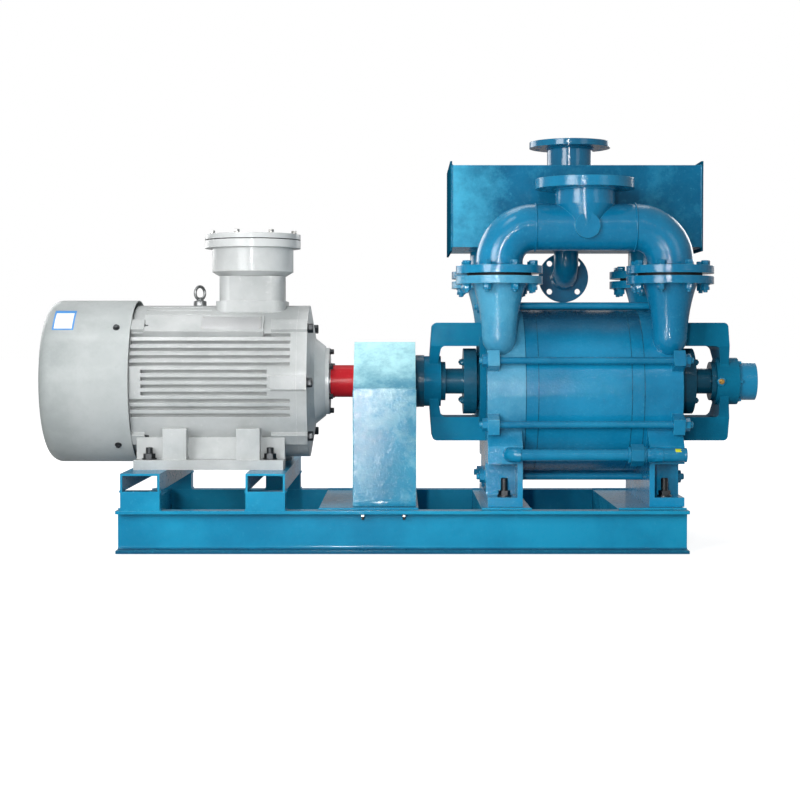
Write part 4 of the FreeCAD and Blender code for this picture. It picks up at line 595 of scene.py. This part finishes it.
def port_joint_bolts():
    """Bolts round the four port joints, with heads on the upper flange and nuts under the lower one."""
    low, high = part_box("port_gaskets")
    for front, name in ((-1, "suction"), (1, "discharge")):
        mesh, dice = bmesh.new(), random.Random(5 + front)
        for port_x in (PUMP_X - PORT_X, PUMP_X + PORT_X):
            for x, y in ring_points(*PORT_RING):
                turn = dice.uniform(0, 1)
                at = (port_x + x, front * PORT_Y + y)
                bolt(mesh, spot(*at, high.z + PORT_FLANGE), *PORT_HEAD, turn=turn)
                bolt(mesh, spot(*at, low.z - PORT_FLANGE, DOWN), *PORT_NUT, stud=PORT_STUD, turn=turn)
        add_piece(name + "_joint_bolts", mesh, FINISH["steel_blue"])


def terminal_cover_bolts():
    """Bolts on the flanged cover of the terminal box."""
    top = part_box("terminal_box_cover")[1].z
    mesh, dice = bmesh.new(), random.Random(2)
    for x, y in ring_points(*TERMINAL_RING):
        bolt(mesh, spot(TERMINAL_X + x, y, top), *TERMINAL_HEAD, turn=dice.uniform(0, 1))
    add_piece("terminal_cover_bolts", mesh, ZINC)


def motor_end_bolts():
    """Bolts of the drive-end bearing cover and of the lugs at both ends of the motor."""
    cover_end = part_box("motor_bearing_covers")[1].x
    mesh, dice = bmesh.new(), random.Random(3)
    for y, z in ring_points(*MOTOR_BEARING_RING):
        bolt(mesh, spot(cover_end, y, AXIS_Z + z, ALONG_X), *MOTOR_BEARING_HEAD, turn=dice.uniform(0, 1))
    add_piece("bearing_cover_bolts", mesh, DARK_STEEL)
    mesh = bmesh.new()
    for angle in SHIELD_LUG_ANGLES:
        at = out_from_axis(SHIELD_RIM_X, LUG_BOLT_RADIUS, angle).translation
        bolt(mesh, spot(*at, ALONG_X), *SHIELD_HEAD, turn=dice.uniform(0, 1))
    fan_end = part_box("motor_frame")[0].x
    for angle in FAN_LUG_ANGLES:
        at = out_from_axis(fan_end + FAN_LUG_LENGTH, LUG_BOLT_RADIUS + FAN_LUG_STEP, angle).translation
        bolt(mesh, spot(*at, ALONG_X), *FAN_LUG_HEAD, turn=dice.uniform(0, 1))
    add_piece("shield_bolts", mesh, DARK_STEEL)


def cowl_screws():
    """Four screws near the cowl's mouth, and the plug on its top."""
    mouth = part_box("fan_cowl")[1].x
    mesh = bmesh.new()
    for angle in COWL_SCREW_ANGLES:
        at = out_from_axis(mouth - COWL_SCREW_INSET, COWL_RADIUS - 0.0005, angle)
        bolt(mesh, at, *COWL_HEAD, rim=0.010)
    lathe(mesh, out_from_axis(mouth - COWL_PLUG_INSET, COWL_RADIUS - 0.002, 90),
          [(0, 0), (0.011, 0), (0.011, 0.001), (0.007, 0.0018), (0, 0.0018)], sides=24)
    add_piece("cowl_screws", mesh, DARK_STEEL)


def foot_bolt_dress():
    """Washers under the nuts of the foot bolts, and the threads above them."""
    mesh = bmesh.new()
    for (low, high), rise in ((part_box("motor_foot_bolts"), 2 * FOOT_NUT),
                              (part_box("pump_foot_bolts"), PUMP_BOLT_RISE)):
        foot_top = high.z - rise
        for x in (low.x + FOOT_NUT_CORNER, high.x - FOOT_NUT_CORNER):
            for y in (low.y + FOOT_NUT_FLAT, high.y - FOOT_NUT_FLAT):
                washer(mesh, spot(x, y, foot_top), *FOOT_WASHER)
                thread(mesh, spot(x, y, foot_top + FOOT_NUT), FOOT_THREAD, rise - FOOT_NUT + 0.0005)
    add_piece("foot_bolt_threads", mesh, DARK_STEEL)


def tie_rod_ends():
    """Washers and thread ends at both ends of the eight tie rods."""
    low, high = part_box("tie_rods")
    mesh = bmesh.new()
    for quarter in range(4):
        for side in (-1, 1):
            angle = math.radians(90 * quarter + side * ROD_ANGLE)
            y, z = ROD_CIRCLE * math.cos(angle), CASING_Z + ROD_CIRCLE * math.sin(angle)
            for x, turn, step in ((low.x, AGAINST_X, 1), (high.x, ALONG_X, -1)):
                thread(mesh, spot(x, y, z, turn), *ROD_THREAD)
                washer(mesh, spot(x + step * (ROD_NUT + 0.0002), y, z, turn), *ROD_WASHER)
    add_piece("tie_rod_ends", mesh, FINISH["pump_blue"])


def gland_nuts():
    """Nuts of the gland studs on both sides of the pump."""
    low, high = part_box("gland_followers")
    mesh = bmesh.new()
    for x, turn in ((low.x, AGAINST_X), (high.x, ALONG_X)):
        for y, z in ring_points(*GLAND_RING):
            bolt(mesh, spot(x, y, AXIS_Z + z, turn), *GLAND_NUT, rim=0.010, stud=0.003)
    # The darker copy of the blue: painted shade on the nuts inside the brackets
    add_piece("gland_nuts", mesh, SHADE_AND_SEAM_ENAMEL)


def bearing_cover_screws():
    """Screws of the pump's drive-side bearing cover and of its free end cap."""
    mesh, dice = bmesh.new(), random.Random(7)
    cover_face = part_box("drive_bearing_cover")[0].x
    for y, z in ring_points(*DRIVE_COVER_RING):
        bolt(mesh, spot(cover_face, y, AXIS_Z + z, AGAINST_X), *DRIVE_COVER_HEAD, rim=0.009,
             turn=dice.uniform(0, 1))
    cap_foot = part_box("free_end_cap")[0].x
    for y, z in ring_points(*END_CAP_RING):
        bolt(mesh, spot(cap_foot, y, AXIS_Z + z, ALONG_X), *END_CAP_HEAD, rim=0.006, turn=dice.uniform(0, 1))
    add_piece("bearing_screws", mesh, FINISH["pump_blue"])


def oil_plug():
    """The brass plug in front of the free bearing, with the boss under it."""
    at = spot(*OIL_PLUG, AXIS_Z, AGAINST_Y)
    mesh = bmesh.new()
    lathe(mesh, at, [(0, -0.004), (0.0145, -0.004), (0.0125, 0.003), (0.0110, 0.004), (0, 0.004)], sides=32)
    add_piece("oil_boss", mesh, FINISH["pump_blue"])
    mesh = bmesh.new()
    washer(mesh, raised(at, 0.004), 0.0085, 0.002)
    hexagon(mesh, raised(at, 0.006), *OIL_PLUG_HEAD)
    add_piece("oil_plug", mesh, BRASS)


# Small fittings

def casing_joints():
    """Dark sealing lines where the port plates meet the casing and the covers."""
    mesh = bmesh.new()
    inner, outer = CASING_RADIUS - JOINT_DEPTH, CASING_RADIUS + JOINT_PROUD
    for step in (-CASING_JOINTS[1], -CASING_JOINTS[0], CASING_JOINTS[0], CASING_JOINTS[1]):
        lathe(mesh, spot(PUMP_X + step, 0, CASING_Z, ALONG_X),
              [(inner, -JOINT_HALF), (outer, -JOINT_HALF), (outer, JOINT_HALF), (inner, JOINT_HALF),
               (inner, -JOINT_HALF)], sides=128)
    add_piece("casing_seams", mesh, SHADE_AND_SEAM_ENAMEL)


def lifting_ring():
    """The lifting eye: a forged ring on a collar."""
    low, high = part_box("lifting_eye")
    middle = (low + high) / 2
    mesh = bmesh.new()
    centre = Vector((middle.x, middle.y, high.z - EYE_RADIUS - EYE_BAR))
    at = Matrix.Translation(centre) @ (Matrix.Rotation(math.radians(EYE_TURN), 4, "Z") @ ALONG_Y)
    steps, sides = 40, 12
    rings = []
    for step in range(steps):
        angle = 2 * math.pi * step / steps
        out = Vector((math.cos(angle), math.sin(angle), 0))
        ring = []
        for k in range(sides):
            turn = 2 * math.pi * k / sides
            ring.append(mesh.verts.new(at @ (out * (EYE_RADIUS + EYE_BAR * math.cos(turn))
                                             + Vector((0, 0, EYE_BAR * math.sin(turn))))))
        rings.append(ring)
    tube(mesh, rings + rings[:1])
    lathe(mesh, spot(middle.x, middle.y, low.z), [
        (0, 0), (0.0195, 0), (0.0195, 0.012), (0.0185, 0.0145), (0.0125, 0.0155), (0.009, 0.019),
        (0.0065, 0.0235), (0.006, 0.026), (0, 0.026)], sides=32)
    add_piece("eye_bolt", mesh, WORN_STEEL, replaces=["lifting_eye"])


def curved_patch(mesh, x0, x1, angle0, angle1, radius):
    """A thin sheet that follows a cylinder round the shaft axis."""
    steps = 12
    rows = []
    for k in range(steps + 1):
        turn = math.radians(angle0 + (angle1 - angle0) * k / steps)
        y, z = -radius * math.cos(turn), AXIS_Z + radius * math.sin(turn)
        rows.append([mesh.verts.new((x, y, z)) for x in (x0, x1)])
    ribbon(mesh, rows)


def cowl_sticker():
    """A bare sticker: a blue border round a white field."""
    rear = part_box("fan_cowl")[0].x
    left, right = rear + STICKER_SPAN[0], rear + STICKER_SPAN[1]
    foot, head = STICKER_ANGLES
    mesh = bmesh.new()
    curved_patch(mesh, left, right, foot, head, COWL_RADIUS + 0.0003)
    add_piece("sticker_border", mesh, LABEL_BLUE)
    mesh = bmesh.new()
    curved_patch(mesh, left + 0.005, right - 0.005, foot + 1.2, head - 3.2, COWL_RADIUS + 0.0005)
    add_piece("sticker_field", mesh, LABEL_WHITE)


def motor_plate():
    """A bare rating plate with four rivets, on the pad of the front shoulder."""
    at = out_from_axis(PLATE_X, PAD_REACH, PAD_ANGLE)
    across, along = PLATE_HALF
    mesh = bmesh.new()
    block(mesh, (-across, -along, 0), (across, along, PLATE_THICKNESS), 0.0005, at)
    add_piece("rating_plate", mesh, PLATE_SILVER)
    across, along = RIVETS
    mesh = bmesh.new()
    for x in (-across, across):
        for y in (-along, along):
            lathe(mesh, at @ Matrix.Translation((x, y, 0.001)),
                  [(0, 0), (0.0026, 0), (0.0024, 0.0012), (0.0012, 0.0018), (0, 0.0018)], sides=16)
    add_piece("plate_rivets", mesh, ZINC)


def cable_nut():
    """The clamping nut of the cable gland."""
    low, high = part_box("cable_gland")
    middle = (low + high) / 2
    mesh = bmesh.new()
    lathe(mesh, spot(middle.x, high.y - 0.018, middle.z, ALONG_Y), [
        (CABLE_NUT_CORNER * 0.96, 0), (CABLE_NUT_CORNER, 0.002), (CABLE_NUT_CORNER, 0.012),
        (CABLE_NUT_CORNER * 0.9, 0.0145), (0.0165, 0.0155), (0.0125, 0.0155), (0.0125, 0.004)], sides=6)
    add_piece("gland_nut", mesh, ZINC)


def water_fittings():
    """Union rings, the rough packed joint and a paint mark on the working-water pipe."""
    low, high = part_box("water_pipe_union")
    valve_low, valve_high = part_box("water_valve")
    middle = (low + high) / 2
    mesh = bmesh.new()
    for x in (low.x - 0.008, high.x - 0.001):
        lathe(mesh, spot(x, middle.y, middle.z, ALONG_X), [
            (0.0172, 0), (0.0225, 0), (0.0245, 0.002), (0.0245, 0.007), (0.0225, 0.009), (0.0172, 0.009)],
            sides=36)
    lathe(mesh, spot(valve_high.x - 0.004, middle.y, middle.z, ALONG_X), [
        (0.0185, -0.004), (0.0205, 0), (0.0205, 0.003), (0.0180, 0.004)], sides=36)
    add_piece("union_rings", mesh, FINISH["steel_blue"])

    mesh = bmesh.new()
    start, end = valve_low.x + 0.003, valve_low.x + 0.050
    steps, sides = 36, 48
    rings = []
    for step in range(steps + 1):
        x = start + (end - start) * step / steps
        swell = math.sin(math.pi * step / steps) ** 0.3
        ring = []
        for k in range(sides):
            angle = 2 * math.pi * k / sides
            strand = noise.noise(Vector((x * 90, math.cos(angle) * 2.2, math.sin(angle) * 2.2)))
            rough = PACKING_RADIUS + PACKING_LUMP * max(0.0, strand + 0.25) * swell
            ring.append(mesh.verts.new((x, middle.y + rough * math.cos(angle),
                                        middle.z + rough * math.sin(angle))))
        rings.append(ring)
    tube(mesh, rings)
    mesh.faces.new(rings[0][::-1])
    mesh.faces.new(rings[-1])
    add_piece("packed_joint", mesh, FINISH["pump_blue"], angle=60)

    mesh = bmesh.new()
    start = valve_high.x - 0.034
    rows = []
    for k in range(9):
        turn = math.radians(30 + 5 * k)
        y, z = middle.y - MARK_RADIUS * math.cos(turn), middle.z + MARK_RADIUS * math.sin(turn)
        rows.append([mesh.verts.new((x, y, z)) for x in (start + 0.0015 * math.sin(k * 2.1),
                                                         start + 0.016 + 0.002 * math.sin(k * 1.3))])
    ribbon(mesh, rows)
    add_piece("paint_mark", mesh, MARKER_YELLOW)


def guard_trim():
    """The guard's folded foot, shoulder crease and side folds, and the bolts that hold it."""
    low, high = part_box("coupling_guard")
    mesh = bmesh.new()
    for side in (-1, 1):
        y = low.y if side < 0 else high.y
        near, far = sorted((y, y + side * 0.0035))
        block(mesh, (low.x, near, low.z + 0.0005), (high.x, far, low.z + 0.016), 0.0012)
        near, far = sorted((y, y + side * 0.0012))
        block(mesh, (low.x, near, AXIS_Z - 0.018), (high.x, far, AXIS_Z - 0.0145), 0.0005)
    foot, head = low.z + 0.001, AXIS_Z - 0.02
    for x in (low.x, high.x):
        near, far = sorted((x, x + (0.0015 if x > 0 else -0.0015)))
        block(mesh, (near, low.y, foot), (far, low.y + GUARD_FOLD, head), 0.0006)
        block(mesh, (near, high.y - GUARD_FOLD, foot), (far, high.y, head), 0.0006)
    add_piece("guard_hems", mesh, FINISH["guard_blue"])
    shanks, nuts = bmesh.new(), bmesh.new()
    for x, y in GUARD_BOLTS:
        for side in (-1, 1):
            at = spot(x, side * y, RAIL_FLANGE_UNDERSIDE, DOWN)
            bolt(nuts, at, *GUARD_NUT, rim=0.0075)
            thread(shanks, raised(at, 0.0088), 0.0042, 0.008)
    add_piece("guard_nuts", nuts, ZINC)
    add_piece("guard_bolt_ends", shanks, DARK_STEEL)


# Welds

def tank_welds():
    """Seams of the end plates, and rings round the outlet neck, the risers and the overflow."""
    low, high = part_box("separator_tank")
    mesh = bmesh.new()
    rear = high.y - TANK_SEAM_INSET
    for x in (low.x, high.x):
        corners = [(x, low.y, low.z), (x, rear, low.z), (x, rear, high.z), (x, low.y, high.z)]
        for first, second in zip(corners, corners[1:] + corners[:1]):
            bead(mesh, [first, second], TANK_BEAD, seed=int(1000 * x))
    outlet_low, outlet_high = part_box("separator_outlet")
    centre = (outlet_low + outlet_high) / 2
    riser_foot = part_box("discharge_risers")[0].z
    rings = [(spot(centre.x, centre.y, high.z + 0.001), OUTLET_RING, NECK_BEAD, 1),
             (spot(centre.x, centre.y, outlet_high.z - 0.019), OUTLET_RING, RING_BEAD, 2)]
    for x in (PUMP_X - PORT_X, PUMP_X + PORT_X):
        rings += [(spot(x, PORT_Y, low.z - 0.001), RISER_RING, NECK_BEAD, 3),
                  (spot(x, PORT_Y, riser_foot + 0.023), RISER_RING, RING_BEAD, 4)]
    rings.append((spot(OVERFLOW_X, PORT_Y, low.z - 0.001), OVERFLOW_RING, FILLET_BEAD, 5))
    for at, radius, size, seed in rings:
        bead(mesh, circle(at, radius), size, seed, closed=True)
    add_piece("separator_welds", mesh, FINISH["steel_blue"], angle=80)


def manifold_welds():
    """Rings where the bends meet the straight run and the lower flanges, and one under the top flange."""
    mesh = bmesh.new()
    low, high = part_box("suction_manifold")
    axis = low.z + MANIFOLD_RISE
    rings = [(spot(x, -PORT_Y, axis, ALONG_X), BEND_RING, BEND_BEAD, int(100 * x))
             for x in (PUMP_X - PORT_X + BEND_RUN, PUMP_X + PORT_X - BEND_RUN)]
    rings += [(spot(x, -PORT_Y, axis - BEND_DROP), LOWER_RING, RING_BEAD, int(90 * x))
              for x in (PUMP_X - PORT_X, PUMP_X + PORT_X)]
    rings.append((spot(PUMP_X, -PORT_Y, high.z - 0.029), TOP_RING, RING_BEAD, 8))
    for at, radius, size, seed in rings:
        bead(mesh, circle(at, radius, 64), size, seed, closed=True)
    add_piece("manifold_welds", mesh, FINISH["pump_blue"], angle=80)


def frame_welds():
    """Fillet welds of the cross members and of the packers under the motor's stools."""
    mesh = bmesh.new()
    low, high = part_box("base_cross_members")
    for x0, x1 in MEMBER_SPANS:
        for y in (low.y + MEMBER_SEAM_INSET, high.y - MEMBER_SEAM_INSET):
            bead(mesh, [(x0, y, high.z + 0.0005), (x1, y, high.z + 0.0005)], FILLET_BEAD,
                 seed=int(500 + 900 * x0))
    low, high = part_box("motor_stool_packers")
    near, far = PACKER_SEAM
    for x0 in (low.x, high.x - STOOL_WIDTH):
        for y, side in ((low.y, -1), (high.y, 1)):
            for x in (x0, x0 + STOOL_WIDTH):
                for z in (low.z + 0.001, high.z):
                    bead(mesh, [(x, y - side * near, z), (x, y - side * far, z)], FILLET_BEAD,
                         seed=int(700 + 100 * x))
    add_piece("frame_welds", mesh, FINISH["frame_blue"], angle=80)


# Camera, light and floor

def set_camera():
    scene = bpy.context.scene
    scene.view_settings.view_transform = "Standard"
    lens = bpy.data.cameras.new("camera")
    lens.sensor_width = 36.0
    lens.lens = LENS
    lens.clip_end = 200.0
    camera = bpy.data.objects.new("camera", lens)
    camera.location = CAMERA_PLACE
    camera.rotation_euler = (math.radians(90 - CAMERA_PITCH), 0, 0)
    scene.collection.objects.link(camera)
    scene.camera = camera


def set_world():
    """White where the camera sees it, dimmer in gloss, and a low ambient light on the object."""
    world = bpy.data.worlds.new("studio")
    bpy.context.scene.world = world
    world.use_nodes = True
    tree = world.node_tree
    path = tree.nodes.new("ShaderNodeLightPath").outputs
    mirrored = tree.nodes.new("ShaderNodeMath")
    mirrored.operation = "MULTIPLY"
    mirrored.inputs[1].default_value = MIRRORED
    tree.links.new(path["Is Glossy Ray"], mirrored.inputs[0])
    direct = tree.nodes.new("ShaderNodeMath")
    direct.operation = "MAXIMUM"
    tree.links.new(path["Is Camera Ray"], direct.inputs[0])
    tree.links.new(path["Is Transmission Ray"], direct.inputs[1])
    seen = tree.nodes.new("ShaderNodeMath")
    seen.operation = "MAXIMUM"
    tree.links.new(direct.outputs[0], seen.inputs[0])
    tree.links.new(mirrored.outputs[0], seen.inputs[1])
    level = tree.nodes.new("ShaderNodeMapRange")
    level.inputs["To Min"].default_value = AMBIENT
    level.inputs["To Max"].default_value = 1.0
    tree.links.new(seen.outputs[0], level.inputs["Value"])
    tree.links.new(level.outputs[0], tree.nodes["Background"].inputs["Strength"])
    tree.nodes["Background"].inputs["Color"].default_value = (1, 1, 1, 1)


def set_lamps():
    for name, place, aim, size, power, spread in LAMPS:
        lamp = bpy.data.lights.new(name, "AREA")
        lamp.shape = "RECTANGLE"
        lamp.size, lamp.size_y = size
        lamp.energy = power
        lamp.spread = math.radians(spread)
        obj = bpy.data.objects.new(name, lamp)
        obj.location = place
        obj.rotation_euler = (Vector(aim) - Vector(place)).to_track_quat("-Z", "Y").to_euler()
        bpy.context.scene.collection.objects.link(obj)


def set_floor():
    """Pale paper that keeps the object's shadow and grows whiter away from it."""
    shader = Shader("floor_paper")
    paths = shader.add("ShaderNodeLightPath").outputs
    direct = shader.math("MAXIMUM", paths["Is Camera Ray"], paths["Is Transmission Ray"])
    mirrored = shader.math("MULTIPLY", paths["Is Glossy Ray"], MIRRORED_FLOOR)
    seen = shader.math("MAXIMUM", direct, mirrored)
    away = shader.add("ShaderNodeVectorMath", {0: shader.place}, operation="LENGTH").outputs["Value"]
    strength = shader.math("MULTIPLY", seen, shader.between(away, *FLOOR_FADE, *FLOOR_GLOW))
    lit = shader.add("ShaderNodeBsdfDiffuse", {"Color": color(FLOOR_TONE, FLOOR_TONE, FLOOR_TONE)})
    glow = shader.add("ShaderNodeEmission", {"Color": color(1, 1, 1), "Strength": strength})
    both = shader.add("ShaderNodeAddShader", {0: lit.outputs[0], 1: glow.outputs[0]})
    shader.add("ShaderNodeOutputMaterial", {"Surface": both.outputs[0]})
    mesh = bmesh.new()
    bmesh.ops.create_grid(mesh, x_segments=1, y_segments=1, size=FLOOR_SIZE)
    data = bpy.data.meshes.new("floor")
    mesh.to_mesh(data)
    mesh.free()
    floor = bpy.data.objects.new("floor", data)
    floor.location.z = -FLOOR_DEPTH
    data.materials.append(shader.material)
    bpy.context.scene.collection.objects.link(floor)


for build in (port_joint_bolts, terminal_cover_bolts, motor_end_bolts, cowl_screws, foot_bolt_dress,
              tie_rod_ends, gland_nuts, bearing_cover_screws, oil_plug, casing_joints, lifting_ring,
              cowl_sticker, motor_plate, cable_nut, water_fittings, guard_trim, tank_welds, manifold_welds,
              frame_welds, set_camera, set_world, set_lamps, set_floor):
    build()
